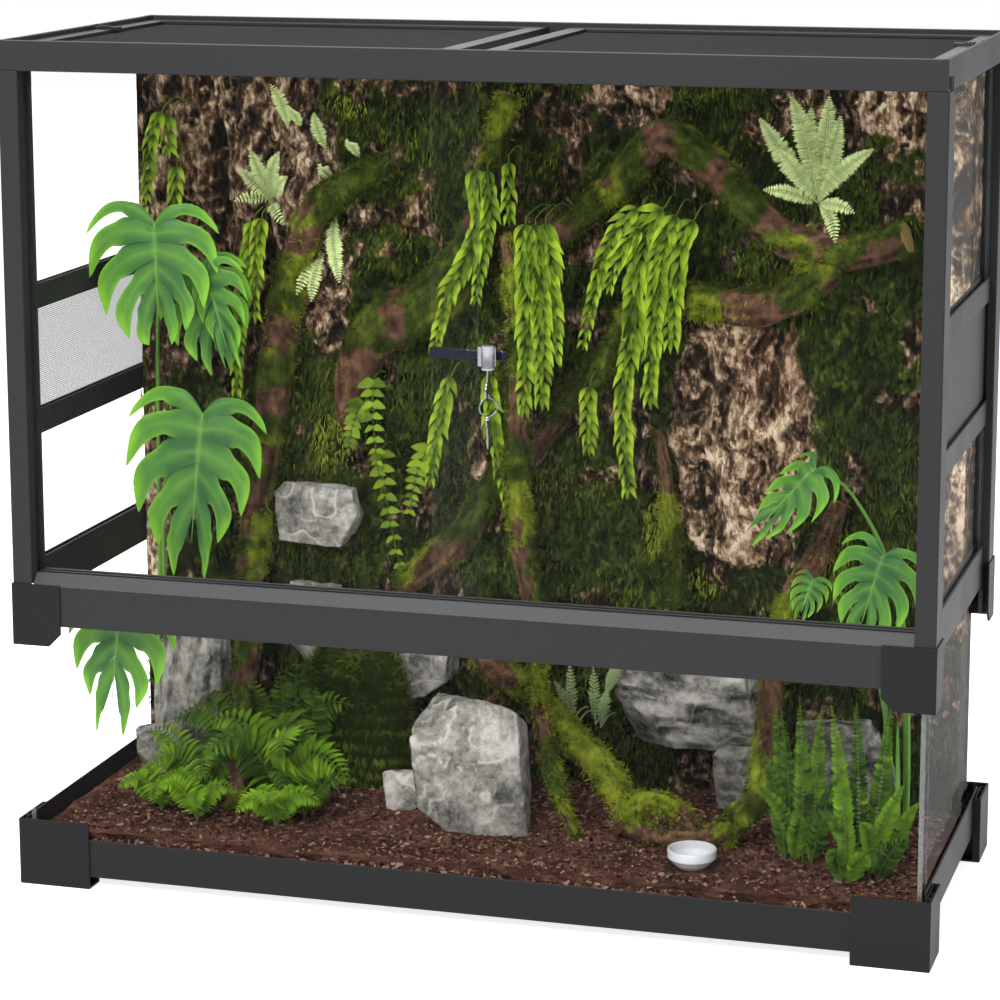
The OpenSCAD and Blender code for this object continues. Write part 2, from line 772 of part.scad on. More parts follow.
// each branch is a list of [x, height, radius, distance in front of the bark]
limbs = [
    [[-292, 63.4, 8, 190], [-305, 120, 9, 150], [-318, 200, 11, 90], [-333, 300, 13, 25], [-328, 400, 15, 4],
     [-311, 495, 16, 2], [-290, 610, 16, 0], [-262, 700, 15, 2], [-216, 744, 13, 2], [-166, 770, 10, 0]],
    [[-31, 849, 10, 0.5], [-45, 788, 12, 2], [-59, 710, 14, 4], [-88, 648, 16, 4], [-129, 613, 17, 2],
     [-188, 576, 16, 0.5], [-219, 500, 12, 0.5], [-213, 443, 8, 0.5]],
    [[-22, 696, 9, 30], [-8, 631, 10, 50], [-1, 565, 11, 55], [-3, 465, 11, 60], [1, 364, 11, 65],
     [15, 285, 10, 75], [28, 215, 8, 110], [60, 130, 6, 155], [92, 63.4, 5, 180]],
    [[-47, 231, 13, 60], [-13, 211, 13, 80], [33, 175, 13, 90], [79, 144, 13, 100], [119, 113, 13, 115],
     [147, 82, 12, 150], [176, 70, 11, 165], [231, 68, 11, 172], [262, 85, 12, 150], [287, 120, 12, 130],
     [291, 168, 12, 110], [288, 230, 11, 70], [297, 307, 11, 20], [323, 354, 12, 4], [344, 411, 9, 0]],
    [[-33, 690, 9, 10], [24, 698, 11, 8], [69, 727, 13, 4], [91, 750, 15, 2], [124, 789, 16, 0], [151, 806, 16, 0],
     [190, 780, 16, 0], [235, 738, 17, 0], [279, 702, 17, 2], [333, 688, 17, 2], [387, 698, 17, 4], [413, 707, 16, 6]],
    [[173, 631, 13, 2], [212, 624, 15, 0], [256, 624, 16, 4], [304, 648, 15, 6]],
    [[-4, 440, 9, 8], [30, 498, 10, 6], [70, 540, 12, 4], [94, 580, 12, 0], [109, 619, 10, -5.2]],
    [[-161, 284, 12, 4], [-119, 316, 15, -1.1], [-77, 359, 14, 4], [-54, 406, 11, 4], [-34, 428, 8, 0]],
    [[140, 480, 6, -0.5], [148, 445, 7, 4], [155, 390, 8, 10], [162, 345, 8, 14], [169, 289, 7, 20]]
];

// the bark nearest to the front within a reach of x
function nearest_bark(x, reach) = min([for (k = [-4 : 4]) lookup(x + reach * k / 4, bark_line)]);
// the same point lifted clear of the soil, given which way the branch runs there
function above_soil(p, t, r) = [p.x, p.y, max(p.z, soil_z + run + r * sqrt(1 - t.z * t.z))];

module branches() {
    color([0.35, 0.24, 0.13]) for (limb = limbs) {
        line = smooth(limb, 3);
        raw = [for (q = line) [q[0], nearest_bark(q[0], 15) - q[2] - run - q[3], q[1]]];
        high = [for (i = [0 : len(raw) - 1]) above_soil(raw[i], tangent(raw, i), line[i][2])];
        route = [for (i = [0 : len(raw) - 1]) above_soil(high[i], tangent(high, i), line[i][2] + 0.3)];
        tube(route, [for (q = line) q[2]]);
    }
}

// a split leaf in the plane y = 0, its stalk end at the origin and its tip down
module split_leaf(size, thick = 1.4) {
    lobes = 6;
    // the start of the midrib, which the stalk runs into
    block([-1.6, -1.5, -0.16 * size], [1.6, 1.5, 0.5]);
    rotate([90, 0, 0]) linear_extrude(thick, center = true) scale(size / 100) difference() {
        polygon([
            for (a = [-160 : 10 : 160])
            let (r = 46 + 14 * cos(a) + 6 * cos(2 * a))
            [r * 0.95 * sin(a), -42 - r * cos(a)]
        ]);
        for (s = [-1, 1], i = [0 : lobes - 3])
            translate([s * (12 + i * 1.5), -28 - i * 16]) rotate(s * (-14 - i * 10))
                polygon([[0, -2], [s * 50, -7], [s * 50, 5], [0, 2]]);
    }
}

// stalk end, leaf size, turn about Z and tilt, and the root of the stalk
leaves = [
    [[-403, -20, 708], 122, 6, -16, [-452, -25]],
    [[-365, 25, 650], 100, -15, -10, [-462, 2]],
    [[-353, -15, 495], 135, 8, -12, [-440, -44]],
    [[-420, -118, 305], 125, 10, -10, [-446, -78]],
    [[335, 0, 468], 100, -60, -35, [437, 12]],
    [[415, -30, 387], 100, 20, -20, [442, -14]],
    [[338, -15, 352], 45, -20, -30, [424, -8]]
];

module broadleaf_plants() {
    color(leaf_green) for (l = leaves) {
        top = l[0];
        root = l[4];
        translate(top) rotate([l[3], 0, l[2]]) split_leaf(l[1]);
        foot = [root.x, root.y, soil_z + run + 0.25];
        neck = [root.x, root.y, soil_z + 12];
        knee = [root.x + 4, root.y - 6, soil_z + 60];
        half = [(root.x + top.x) / 2, (root.y + top.y) / 2 + 10, (soil_z + top.z) / 2 + 20];
        tube(smooth([foot, neck, knee, half, [top.x, top.y, top.z - 4]], 3), [for (i = [0 : 12]) 3.2 - i * 0.1], 6, [1, 0.2, 0]);
    }
}

// a toothed frond in the plane x = 0 that leans out from the origin
module frond(length, width, teeth) {
    rotate([90, 0, 90]) linear_extrude(1, center = true) polygon(concat(
        [for (i = [0 : teeth]) each let (t = i / teeth, w = width * sin(20 + 150 * t) / 2)
            [[-w, length * t], [-w * 0.3, length * (t + 0.45 / teeth)]]],
        [for (i = [teeth : -1 : 0]) each let (t = i / teeth, w = width * sin(20 + 150 * t) / 2)
            [[w * 0.3, length * (t + 0.45 / teeth)], [w, length * t]]]
    ));
}

module tuft(place, count, length, width, lean, spread) {
    translate([place.x, place.y, place.z]) {
        cylinder(r = 10, h = 8);
        for (k = [0 : count - 1])
            rotate([0, 0, k * 360 / count]) translate([0, 7.5, 3])
                rotate([-lean - spread * (k % 3), 0, 0])
                    rotate(90) frond(length * (1 - 0.12 * (k % 3)), width, 8);
    }
}

// place of each tuft, number of fronds, length, width, lean and its spread
tufts = [
    [[-375, -112], 7, 80, 26, 40, 10],
    [[-215, -102], 7, 78, 26, 40, 10],
    [[350, -90], 7, 165, 22, 8, 5],
    [[425, -100], 7, 150, 20, 6, 4]
];

module ferns() {
    color([0.25, 0.5, 0.12]) for (t = tufts)
        tuft([t[0].x, t[0].y, soil_z], t[1], t[2], t[3], t[4], t[5]);
}

// hanging strings of leaves: x, top, length and distance in front of the bark
strings = [
    [-428, 829, 115, 42], [-322, 712, 200, 44], [-74, 775, 200, 46], [26, 717, 200, 44], [-35, 549, 150, 44],
    [-102, 540, 120, 44], [100, 722, 150, 44], [136, 735, 310, 46], [172, 728, 145, 44]
];

module trailing_plants() {
    color([0.5, 0.7, 0.12]) for (s = strings) {
        n = floor(s[2] / 18);
        y = wall_face - s[3];
        // the peg in the bark and the string that hangs from it
        translate([s[0], y - 1, s[1]]) rotate([-90, 0, 0])
            cylinder(r = 2.4, h = nearest_bark(s[0], 2.4) - y + 1 - run);
        translate([s[0], y, s[1] - s[2]]) cylinder(r = 1.6, h = s[2] + 1);
        for (i = [0 : n - 1])
            translate([s[0], y, s[1] - 8 - i * 18]) rotate([12, 0, 0]) rotate([90, 0, 0])
                linear_extrude(1.6, center = true)
                    polygon([[0, 4], [15, -6], [17, -21], [6, -15], [0, -20], [-6, -15], [-17, -21], [-15, -6]]);
    }
}

module water_dish() {
    r = dish_d / 2;
    color([0.9, 0.9, 0.89]) translate([dish_x, dish_y, soil_z]) rotate_extrude($fn = 64) polygon([
        [0, 0], [r * 0.6, 0], [r * 0.64, 1], [r - 1, dish_h * 0.48], [r, dish_h * 0.55], [r, dish_h - 0.6],
        [r - 0.6, dish_h], [r - 1.9, dish_h], [r - 2.5, dish_h - 0.6], [r - 2.5, dish_h * 0.58],
        [r - 5, 5], [0, 4]
    ]);
}

base_rail_x();  // base_rail_front
mirror([0, 1, 0]) base_rail_x();  // base_rail_back
base_rail_y();  // base_rail_left
mirror([1, 0, 0]) base_rail_y();  // base_rail_right
at_corner(-1, -1) corner_shoe();  // corner_shoe_front_left
at_corner(1, -1) corner_shoe();  // corner_shoe_front_right
at_corner(-1, 1) corner_shoe();  // corner_shoe_back_left
at_corner(1, 1) corner_shoe();  // corner_shoe_back_right
bottom_pane();
lower_pane_x();  // lower_pane_front
mirror([0, 1, 0]) lower_pane_x();  // lower_pane_back
lower_pane_y();  // lower_pane_left
mirror([1, 0, 0]) lower_pane_y();  // lower_pane_right
mid_rail_front();
mid_rail_back();
mid_rail_y();  // mid_rail_left
mirror([1, 0, 0]) mid_rail_y();  // mid_rail_right
at_corner(-1, -1) mid_corner();  // mid_corner_front_left
at_corner(1, -1) mid_corner();  // mid_corner_front_right
at_corner(-1, 1) mid_corner();  // mid_corner_back_left
at_corner(1, 1) mid_corner();  // mid_corner_back_right
at_corner(-1, -1) post(door_slot);  // post_front_left
at_corner(1, -1) post(door_slot);  // post_front_right
at_corner(-1, 1) post(back_slot);  // post_back_left
at_corner(1, 1) post(back_slot);  // post_back_right
top_rail_front();
top_rail_back();
top_rail_y();  // top_rail_left
mirror([1, 0, 0]) top_rail_y();  // top_rail_right
lid_support_bar();
back_pane();
side_panes();  // side_panes_left
mirror([1, 0, 0]) side_panes();  // side_panes_right
vent_bars();  // vent_bars_left
mirror([1, 0, 0]) vent_bars();  // vent_bars_right
vent_mesh();  // vent_mesh_left
mirror([1, 0, 0]) vent_mesh();  // vent_mesh_right
door_left();
door_right();
ratchet_bar();
lock_body();
lock_plug();
lock_key();
key_ring();
spare_key();
lid_frame();  // lid_frame_left
mirror([1, 0, 0]) lid_frame();  // lid_frame_right
lid_mesh();  // lid_mesh_left
mirror([1, 0, 0]) lid_mesh();  // lid_mesh_right
lid_latch();  // lid_latch_left
mirror([1, 0, 0]) lid_latch();  // lid_latch_right
soil();
back_wall();
rocks();
branches();
broadleaf_plants();
ferns();
trailing_plants();
water_dish();
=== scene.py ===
"""Looks of a planted glass terrarium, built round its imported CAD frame."""

import json
import math

import bpy
import numpy as np
from mathutils import Matrix, Vector

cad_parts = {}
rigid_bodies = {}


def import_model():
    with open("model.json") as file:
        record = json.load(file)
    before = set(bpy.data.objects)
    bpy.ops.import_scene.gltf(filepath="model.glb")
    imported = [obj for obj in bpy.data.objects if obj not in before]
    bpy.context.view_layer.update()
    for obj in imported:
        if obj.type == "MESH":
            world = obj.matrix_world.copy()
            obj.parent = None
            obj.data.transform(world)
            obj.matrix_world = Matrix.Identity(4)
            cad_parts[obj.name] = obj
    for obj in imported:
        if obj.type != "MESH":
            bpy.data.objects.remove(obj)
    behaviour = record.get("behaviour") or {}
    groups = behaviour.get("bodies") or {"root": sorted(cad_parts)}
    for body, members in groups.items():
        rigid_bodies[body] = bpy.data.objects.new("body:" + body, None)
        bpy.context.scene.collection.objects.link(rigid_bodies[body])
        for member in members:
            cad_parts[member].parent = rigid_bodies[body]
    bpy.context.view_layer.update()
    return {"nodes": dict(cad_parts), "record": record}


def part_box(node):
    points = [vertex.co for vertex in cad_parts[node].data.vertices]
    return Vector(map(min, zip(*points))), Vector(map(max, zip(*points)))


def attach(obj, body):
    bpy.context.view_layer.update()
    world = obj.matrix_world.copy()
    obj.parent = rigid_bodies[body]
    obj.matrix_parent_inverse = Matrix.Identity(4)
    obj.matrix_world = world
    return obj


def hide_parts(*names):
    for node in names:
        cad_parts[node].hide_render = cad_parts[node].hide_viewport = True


scene = bpy.context.scene
for item in list(bpy.data.objects):
    bpy.data.objects.remove(item)

# camera: fitted to the corners of the frame
yaw, pitch, roll = 0.286, 0.1909, 0.0019
forward = Vector((-math.sin(yaw) * math.cos(pitch), math.cos(yaw) * math.cos(pitch), -math.sin(pitch)))
right = Vector((math.cos(yaw), math.sin(yaw), 0.0))
up = right.cross(forward)
turn = Matrix.Rotation(roll, 3, forward)
right, up = turn @ right, turn @ up
camera_data = bpy.data.cameras.new("camera")
camera = bpy.data.objects.new("camera", camera_data)
scene.collection.objects.link(camera)
camera_data.lens = 115.3
camera_data.sensor_width = 36.0
camera_data.shift_y = -0.08
camera_data.clip_end = 60.0
camera.matrix_world = Matrix((
    (right.x, up.x, -forward.x, 0.951),
    (right.y, up.y, -forward.y, -3.2776),
    (right.z, up.z, -forward.z, 1.1635),
    (0.0, 0.0, 0.0, 1.0),
))
scene.camera = camera
scene.view_settings.view_transform = "Standard"

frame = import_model()
nodes = frame["nodes"]

SLOTS = {part["node"]: part["material_slot"] for part in frame["record"]["subparts"]}
MM = 0.001
SOIL_Z = 62.0


# Numbers

def rng(seed):
    return np.random.default_rng(seed)


def smooth(a, b, x):
    t = np.clip((np.asarray(x, float) - a) / (b - a), 0.0, 1.0)
    return t * t * (3.0 - 2.0 * t)


def unit(v):
    v = np.asarray(v, float)
    return v / np.maximum(np.linalg.norm(v, axis=-1, keepdims=True), 1e-9)


def xyz(*columns):
    """Points from their x, y and z, each an array or one number."""
    return np.stack(np.broadcast_arrays(*columns), -1).astype(float)


def hashed(i, seed):
    h = (i[:, 0] * 374761393 + i[:, 1] * 668265263 + i[:, 2] * 2147483647 + seed * 144665) & 0xFFFFFFFF
    h = ((h ^ (h >> 13)) * 1274126177) & 0xFFFFFFFF
    h = ((h ^ (h >> 15)) * 668265263) & 0xFFFFFFFF
    return (h ^ (h >> 16)) / 4294967295.0


def noise(p, seed=0):
    """Smooth value noise from -1 to 1 at each row of p."""
    cell = np.floor(p).astype(np.int64)
    f = p - cell
    f = f * f * (3.0 - 2.0 * f)
    total = np.zeros(len(p))
    for dx in (0, 1):
        for dy in (0, 1):
            for dz in (0, 1):
                w = ((f[:, 0] if dx else 1 - f[:, 0]) * (f[:, 1] if dy else 1 - f[:, 1])
                     * (f[:, 2] if dz else 1 - f[:, 2]))
                total += w * hashed(cell + np.array([dx, dy, dz]), seed)
    return total * 2.0 - 1.0


def fbm(p, octaves=4, seed=0):
    total, size = np.zeros(len(p)), 0.5
    for k in range(octaves):
        total += size * noise(p * 2.0 ** k, seed + k)
        size *= 0.5
    return total


def ridged(p, octaves=3, seed=0):
    total, size = np.zeros(len(p)), 0.55
    for k in range(octaves):
        total += size * (1.0 - np.abs(noise(p * 2.0 ** k, seed + k))) ** 2
        size *= 0.5
    return total


# Meshes

class Batch:
    """Parts of one mesh, with float attributes on its points. Lengths are in mm."""

    def __init__(self, *names):
        self.points, self.faces, self.count = [], [], 0
        self.values = {k: [] for k in names}

    def add(self, points, faces, **values):
        points = np.asarray(points, float).reshape(-1, 3)
        self.points.append(points)
        self.faces.append(np.asarray(faces, np.int64) + self.count)
        for k, kept in self.values.items():
            kept.append(np.broadcast_to(np.asarray(values.get(k, 0.0), float), (len(points),)))
        self.count += len(points)

    def build(self, name, material, body, slot, node, flat=False):
        """Makes the piece, which rides on a body and stands for a node."""
        points = np.concatenate(self.points) * MM
        corners = np.concatenate([f.ravel() for f in self.faces])
        sizes = np.concatenate([np.full(len(f), f.shape[1]) for f in self.faces])
        mesh = bpy.data.meshes.new(name)
        mesh.vertices.add(len(points))
        mesh.vertices.foreach_set("co", points.ravel())
        mesh.loops.add(len(corners))
        mesh.loops.foreach_set("vertex_index", corners)
        mesh.polygons.add(len(sizes))
        mesh.polygons.foreach_set("loop_start", np.concatenate([[0], np.cumsum(sizes)[:-1]]))
        mesh.polygons.foreach_set("use_smooth", np.full(len(sizes), not flat))
        mesh.update(calc_edges=True)
        mesh.validate()
        for k, kept in self.values.items():
            layer = mesh.attributes.new(k, "FLOAT", "POINT")
            layer.data.foreach_set("value", np.concatenate(kept))
        mesh.materials.append(material)
        thing = bpy.data.objects.new(name, mesh)
        scene.collection.objects.link(thing)
        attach(thing, body)
        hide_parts(node)


def stamp(batch, base, faces, place, axes, **values):
    """Copies of a base shape; the rows of axes[m] are where its x, y and z go."""
    m, n = len(place), len(base)
    points = place[:, None, :] + np.einsum("nk,mkj->mnj", base, axes)
    many = (faces[None] + (np.arange(m) * n)[:, None, None]).reshape(-1, faces.shape[1])
    spread = {}
    for k, v in values.items():
        v = np.asarray(v, float)
        if v.shape == (m,):
            v = np.repeat(v, n)
        elif v.shape == (m, n):
            v = v.ravel()
        spread[k] = v
    batch.add(points, many, **spread)


def grid_faces(rows, cols, closed=False):
    r = np.arange(rows - 1)[:, None] * cols
    c = np.arange(cols if closed else cols - 1)[None, :]
    d = (c + 1) % cols
    return np.stack([r + c, r + d, r + cols + d, r + cols + c], -1).reshape(-1, 4)


def lance(rows=5, peak=0.42, fold=0.25, droop=0.25, blunt=1.0):
    """A leaf from the origin along y, one long and one wide."""
    t = np.linspace(0.0, 1.0, rows)
    w = np.sin(np.pi * t ** (math.log(0.5) / math.log(peak))) ** blunt * 0.5
    w[0] = 0.06
    points = []
    for k in range(rows):
        for s in (-1, 0, 1):
            points.append([s * w[k], t[k], abs(s) * w[k] * fold - droop * t[k] ** 2])
    return np.array(points), grid_faces(rows, 3)


def shaded(tone, base, low=0.4):
    """A tone for every point of every copy, with painted shade: dark at the stem, full at the tip."""
    return tone[:, None] * (low + (1 - low) * smooth(0.0, 0.6, base[:, 1]))[None]


def leaf_axes(along, face, length, width):
    along = unit(along)
    side = unit(np.cross(along, face))
    face = np.cross(side, along)
    length = np.broadcast_to(length, (len(along),))[:, None]
    width = np.broadcast_to(width, (len(along),))[:, None]
    return np.stack([side * width, along * length, face * length], 1)


def curve(points, step):
    """Points on a smooth curve through the given rows (any number of columns), about a step apart."""
    p = np.asarray(points, float)
    out = []
    for i in range(len(p) - 1):
        a, b, c, d = p[max(i - 1, 0)], p[i], p[i + 1], p[min(i + 2, len(p) - 1)]
        n = max(2, int(np.linalg.norm((c - b)[:3]) / step))
        t = (np.arange(n) / n)[:, None]
        out.append(0.5 * (2 * b + (c - a) * t + (2 * a - 5 * b + 4 * c - d) * t ** 2
                          + (3 * b - a - 3 * c + d) * t ** 3))
    out.append(p[-1:])
    return np.concatenate(out)


def at(path, t):
    """Points and directions at shares t of a path's length."""
    step = np.linalg.norm(np.diff(path, axis=0), axis=1)
    length = np.concatenate([[0.0], np.cumsum(step)])
    s = np.asarray(t) * length[-1]
    where = np.stack([np.interp(s, length, path[:, k]) for k in range(3)], 1)
    ahead = np.stack([np.interp(s + 1.0, length, path[:, k]) for k in range(3)], 1)
    behind = np.stack([np.interp(s - 1.0, length, path[:, k]) for k in range(3)], 1)
    return where, unit(ahead - behind), length[-1]


def ring_ways(path, sides):
    """Where a tube runs at each point of its path, and the ways out to its sides."""
    run = unit(np.gradient(path, axis=0))
    u = unit(np.cross(run, [0.05, 1.0, 0.1]))
    v = np.cross(run, u)
    a = (np.arange(sides) * 2 * np.pi / sides)[None, :, None]
    return run, np.cos(a) * u[:, None] + np.sin(a) * v[:, None]


def tube(batch, path, radius, sides=6, **values):
    path = np.asarray(path, float)
    radius = np.broadcast_to(radius, (len(path),))[:, None, None]
    ring = path[:, None] + radius * ring_ways(path, sides)[1]
    batch.add(ring, grid_faces(len(path), sides, True), **values)


# Looks

class Look:
    """A material: the principled shader and short names for its nodes."""

    def __init__(self, name, color=(0.5, 0.5, 0.5), rough=0.5, metal=0.0, spec=0.5):
        self.material = bpy.data.materials.new(name)
        self.material.use_nodes = True
        self.tree = self.material.node_tree
        self.shader = self.tree.nodes["Principled BSDF"]
        self.shader.inputs["Base Color"].default_value = (*color, 1.0)
        self.shader.inputs["Roughness"].default_value = rough
        self.shader.inputs["Metallic"].default_value = metal
        self.shader.inputs["Specular IOR Level"].default_value = spec
        self.where = None

    def feed(self, socket, value):
        if isinstance(value, bpy.types.NodeSocket):
            self.tree.links.new(value, socket)
        elif isinstance(value, tuple) and len(value) == 3 and len(socket.default_value) == 4:
            socket.default_value = (*value, 1.0)
        else:
            socket.default_value = value

    def set(self, name, value):
        self.feed(self.shader.inputs[name], value)

    def kept(self, name):
        node = self.tree.nodes.new("ShaderNodeAttribute")
        node.attribute_name = name
        return node.outputs["Fac"]

    def math(self, kind, a, b=0.0):
        node = self.tree.nodes.new("ShaderNodeMath")
        node.operation = kind
        self.feed(node.inputs[0], a)
        self.feed(node.inputs[1], b)
        return node.outputs[0]

    def plus(self, a, b):
        return self.math("ADD", a, b)

    def times(self, a, b):
        return self.math("MULTIPLY", a, b)

    def vary(self, base, pattern, amount, middle=0.5):
        """The base value, moved up and down by a pattern."""
        return self.plus(base, self.times(self.math("SUBTRACT", pattern, middle), amount))

    def normal(self, axis):
        """One part of the direction that the face looks in."""
        geometry = self.tree.nodes.new("ShaderNodeNewGeometry")
        split = self.tree.nodes.new("ShaderNodeSeparateXYZ")
        self.feed(split.inputs[0], geometry.outputs["True Normal"])
        return split.outputs[axis]

    def clouds(self, scale, detail=4.0, rough=0.55, stretch=(1.0, 1.0, 1.0)):
        if self.where is None:
            self.where = self.tree.nodes.new("ShaderNodeTexCoord").outputs["Object"]
        place = self.tree.nodes.new("ShaderNodeMapping")
        place.inputs["Scale"].default_value = stretch
        self.feed(place.inputs["Vector"], self.where)
        node = self.tree.nodes.new("ShaderNodeTexNoise")
        self.feed(node.inputs["Vector"], place.outputs["Vector"])
        node.inputs["Scale"].default_value = scale
        node.inputs["Detail"].default_value = detail
        node.inputs["Roughness"].default_value = rough
        return node.outputs["Fac"]

    def ramp(self, value, stops):
        node = self.tree.nodes.new("ShaderNodeValToRGB")
        self.feed(node.inputs["Fac"], value)
        while len(node.color_ramp.elements) < len(stops):
            node.color_ramp.elements.new(0.5)
        for element, (place, color) in zip(node.color_ramp.elements, stops):
            element.position = place
            element.color = (*color, 1.0)
        return node.outputs["Color"]

    def mask(self, value, black, white):
        return self.ramp(value, [(black, (0, 0, 0)), (white, (1, 1, 1))])

    def mix(self, share, a, b):
        node = self.tree.nodes.new("ShaderNodeMix")
        node.data_type = "RGBA"
        for socket, value in ((0, share), (6, a), (7, b)):  # 6, 7 and output 2 are the colours
            self.feed(node.inputs[socket], value)
        return node.outputs[2]

    def bump(self, height, distance, strength=1.0):
        node = self.tree.nodes.new("ShaderNodeBump")
        node.inputs["Strength"].default_value = strength
        node.inputs["Distance"].default_value = distance * MM
        self.feed(node.inputs["Height"], height)
        self.set("Normal", node.outputs["Normal"])


def paint(name, color, rough, grain=0.04, spec=0.33, top=1.0):
    """Satin paint; faces that look up get a painted highlight: their colour is lighter by the factor top."""
    look = Look(name, color, rough, 0.0, spec)
    if top > 1.0:
        # painted highlight: faces that look up are lightened, standing in for the sheen they catch
        painted_highlight_up = look.math("GREATER_THAN", look.normal("Z"), 0.7)
        look.set("Base Color", look.mix(painted_highlight_up, color, tuple(v * top for v in color)))
    look.bump(look.clouds(900.0, 2.0), grain, 0.5)
    look.set("Roughness", look.plus(look.times(look.clouds(9.0, 3.0), 0.16), rough - 0.08))
    return look.material


def metal(name, color, rough, stretch=(1.0, 1.0, 1.0)):
    look = Look(name, color, rough, 1.0)
    streak = look.clouds(300.0, 3.0, 0.6, stretch)
    look.set("Roughness", look.plus(look.times(streak, 0.18), max(rough - 0.09, 0.03)))
    return look.material


def glass(name, axis, edge_share=0.45, veil=0.004, graze=0.3):
    """Clear sheet: it mirrors by the angle of view, and its cut edges are bright."""
    look = Look(name, (1.0, 1.0, 1.0), 0.03, 1.0)
    broad = look.math("GREATER_THAN", look.math("ABSOLUTE", look.normal(axis)), 0.7)
    weight = look.tree.nodes.new("ShaderNodeLayerWeight")
    weight.inputs["Blend"].default_value = 0.5
    edge = look.math("POWER", weight.outputs["Facing"], 5.0)
    smear = look.times(look.clouds(6.0, 3.0), veil)
    sheet = look.plus(look.times(edge, graze), look.plus(smear, veil))
    cut = look.times(look.math("SUBTRACT", 1.0, broad), edge_share)
    look.set("Alpha", look.plus(look.times(broad, sheet), cut))
    look.set("Metallic", broad)
    look.set("Base Color", look.mix(broad, (0.82, 0.9, 0.88), (1.0, 1.0, 1.0)))
    return look.material


def foliage(name, dark, light, vein, rough=0.42, spec=0.4, grain=220.0):
    """Leaves: tone runs from dark to light, vein marks the ribs."""
    look = Look(name, light, rough, 0.0, spec)
    color = look.mix(look.vary(look.kept("tone"), look.clouds(40.0), 0.5), dark, light)
    look.set("Base Color", look.mix(look.kept("vein"), color, vein))
    look.bump(look.clouds(grain, 3.0), 0.25, 0.5)
    return look.material


# the last number of frame_paint and base_paint lightens their up-facing faces as a painted highlight
frame_paint = paint("frame_paint", (0.0235, 0.0238, 0.0245), 0.42, 0.04, 0.06, 2.4)
base_paint = paint("base_paint", (0.016, 0.0162, 0.0168), 0.42, 0.04, 0.05, 1.8)
fitting_plastic = paint("fitting_plastic", (0.0135, 0.0135, 0.014), 0.45, 0.06, 0.06)
lid_paint = paint("lid_paint", (0.018, 0.0185, 0.019), 0.32, 0.04, 0.28)
latch_plastic = paint("latch_plastic", (0.008, 0.008, 0.009), 0.4)
wire_paint = paint("wire_paint", (0.014, 0.0142, 0.015), 0.5, 0.04, 0.06)
vent_wire = metal("vent_wire", (0.1, 0.1, 0.104), 0.34)
chrome = metal("chrome", (0.28, 0.28, 0.31), 0.14)
brass = metal("brass", (0.72, 0.58, 0.3), 0.26)
key_metal = metal("key_metal", (0.2, 0.2, 0.21), 0.22, (1.0, 1.0, 5.0))
glass_x = glass("glass_x", "X", 0.12, 0.002, 0.07)
glass_y = glass("glass_y", "Y", 0.1, 0.001, 0.2)
glass_z = glass("glass_z", "Z")
door_glass = glass("door_glass", "Y", 0.05, 0.0012, 0.25)

look = Look("steel", (0.02, 0.02, 0.045), 0.24, 1.0)
# painted highlight: faces that look up get a light silver colour, the others a dark navy
painted_highlight_up = look.math("GREATER_THAN", look.normal("Z"), 0.5)
look.set("Base Color", look.mix(painted_highlight_up, (0.016, 0.016, 0.028), (0.5, 0.5, 0.54)))
steel = look.material

look = Look("glazed_dish", (0.78, 0.8, 0.83), 0.22)
look.set("Coat Weight", 0.4)
look.set("Base Color", look.mix(look.clouds(60.0, 4.0), (0.56, 0.58, 0.61), (0.66, 0.67, 0.68)))
dish_glaze = look.material

CAD_LOOKS = {
    "frame_metal": frame_paint, "corner_plastic": fitting_plastic, "lid_metal": lid_paint,
    "lid_mesh": wire_paint, "vent_mesh": vent_wire, "latch_plastic": latch_plastic, "bar_steel": steel,
    "lock_chrome": chrome, "plug_brass": brass, "key_steel": key_metal, "dish": dish_glaze,
}
BEVEL = {"frame_metal": 0.6, "corner_plastic": 0.9, "lid_metal": 0.5, "latch_plastic": 0.4,
         "lock_chrome": 0.5, "bar_steel": 0.15, "key_steel": 0.15, "plug_brass": 0.2}
for name, slot in SLOTS.items():
    thing = nodes[name]
    if slot == "clear_glass":
        material = glass_z if name == "bottom_pane" else glass_y
        if name.startswith("door"):
            material = door_glass
        if name.startswith("side_panes") or name in ("lower_pane_left", "lower_pane_right"):
            material = glass_x
    else:
        material = base_paint if name.startswith("base_rail") else CAD_LOOKS.get(slot, frame_paint)
    thing.data.materials.clear()
    thing.data.materials.append(material)
    if slot in BEVEL:
        weld = thing.modifiers.new("weld", "WELD")
        weld.merge_threshold = 0.00001
        bevel = thing.modifiers.new("bevel", "BEVEL")
        bevel.width = BEVEL[slot] * MM
        bevel.segments = 2
        bevel.limit_method = "ANGLE"
        bevel.angle_limit = math.radians(35.0)
        bevel.harden_normals = False


# Wall: a moulded sheet wrapped round a core

def wave(x):
    x = np.radians(x)
    return (5 * np.sin(x * 1.9 + math.radians(20)) + 4 * np.sin(x * 4.3)
            + 3 * np.sin(x * 7.7 + math.radians(60)))


def bark_front(x):
    return 114.6 + wave(x)


# ovals on the wall: middle x and z, half width, half height
ROCKY = [(108, 850, 60, 42), (430, 835, 70, 60), (470, 520, 40, 330), (-470, 330, 26, 150),
         (165, 205, 60, 70), (-250, 640, 42, 60)]
GLOW = [(-238, 449, 34, 42), (-222, 838, 26, 24), (334, 345, 26, 50), (190, 309, 30, 16),
        (132, 368, 14, 40), (-15, 850, 20, 24)]


HIGHEST = 17  # of the moulding, in mm


def oval(x, z, cx, cz, rx, rz):
    """How far x, z is from the middle of an oval; 1 is its rim."""
    return np.sqrt(((x - cx) / rx) ** 2 + ((z - cz) / rz) ** 2)


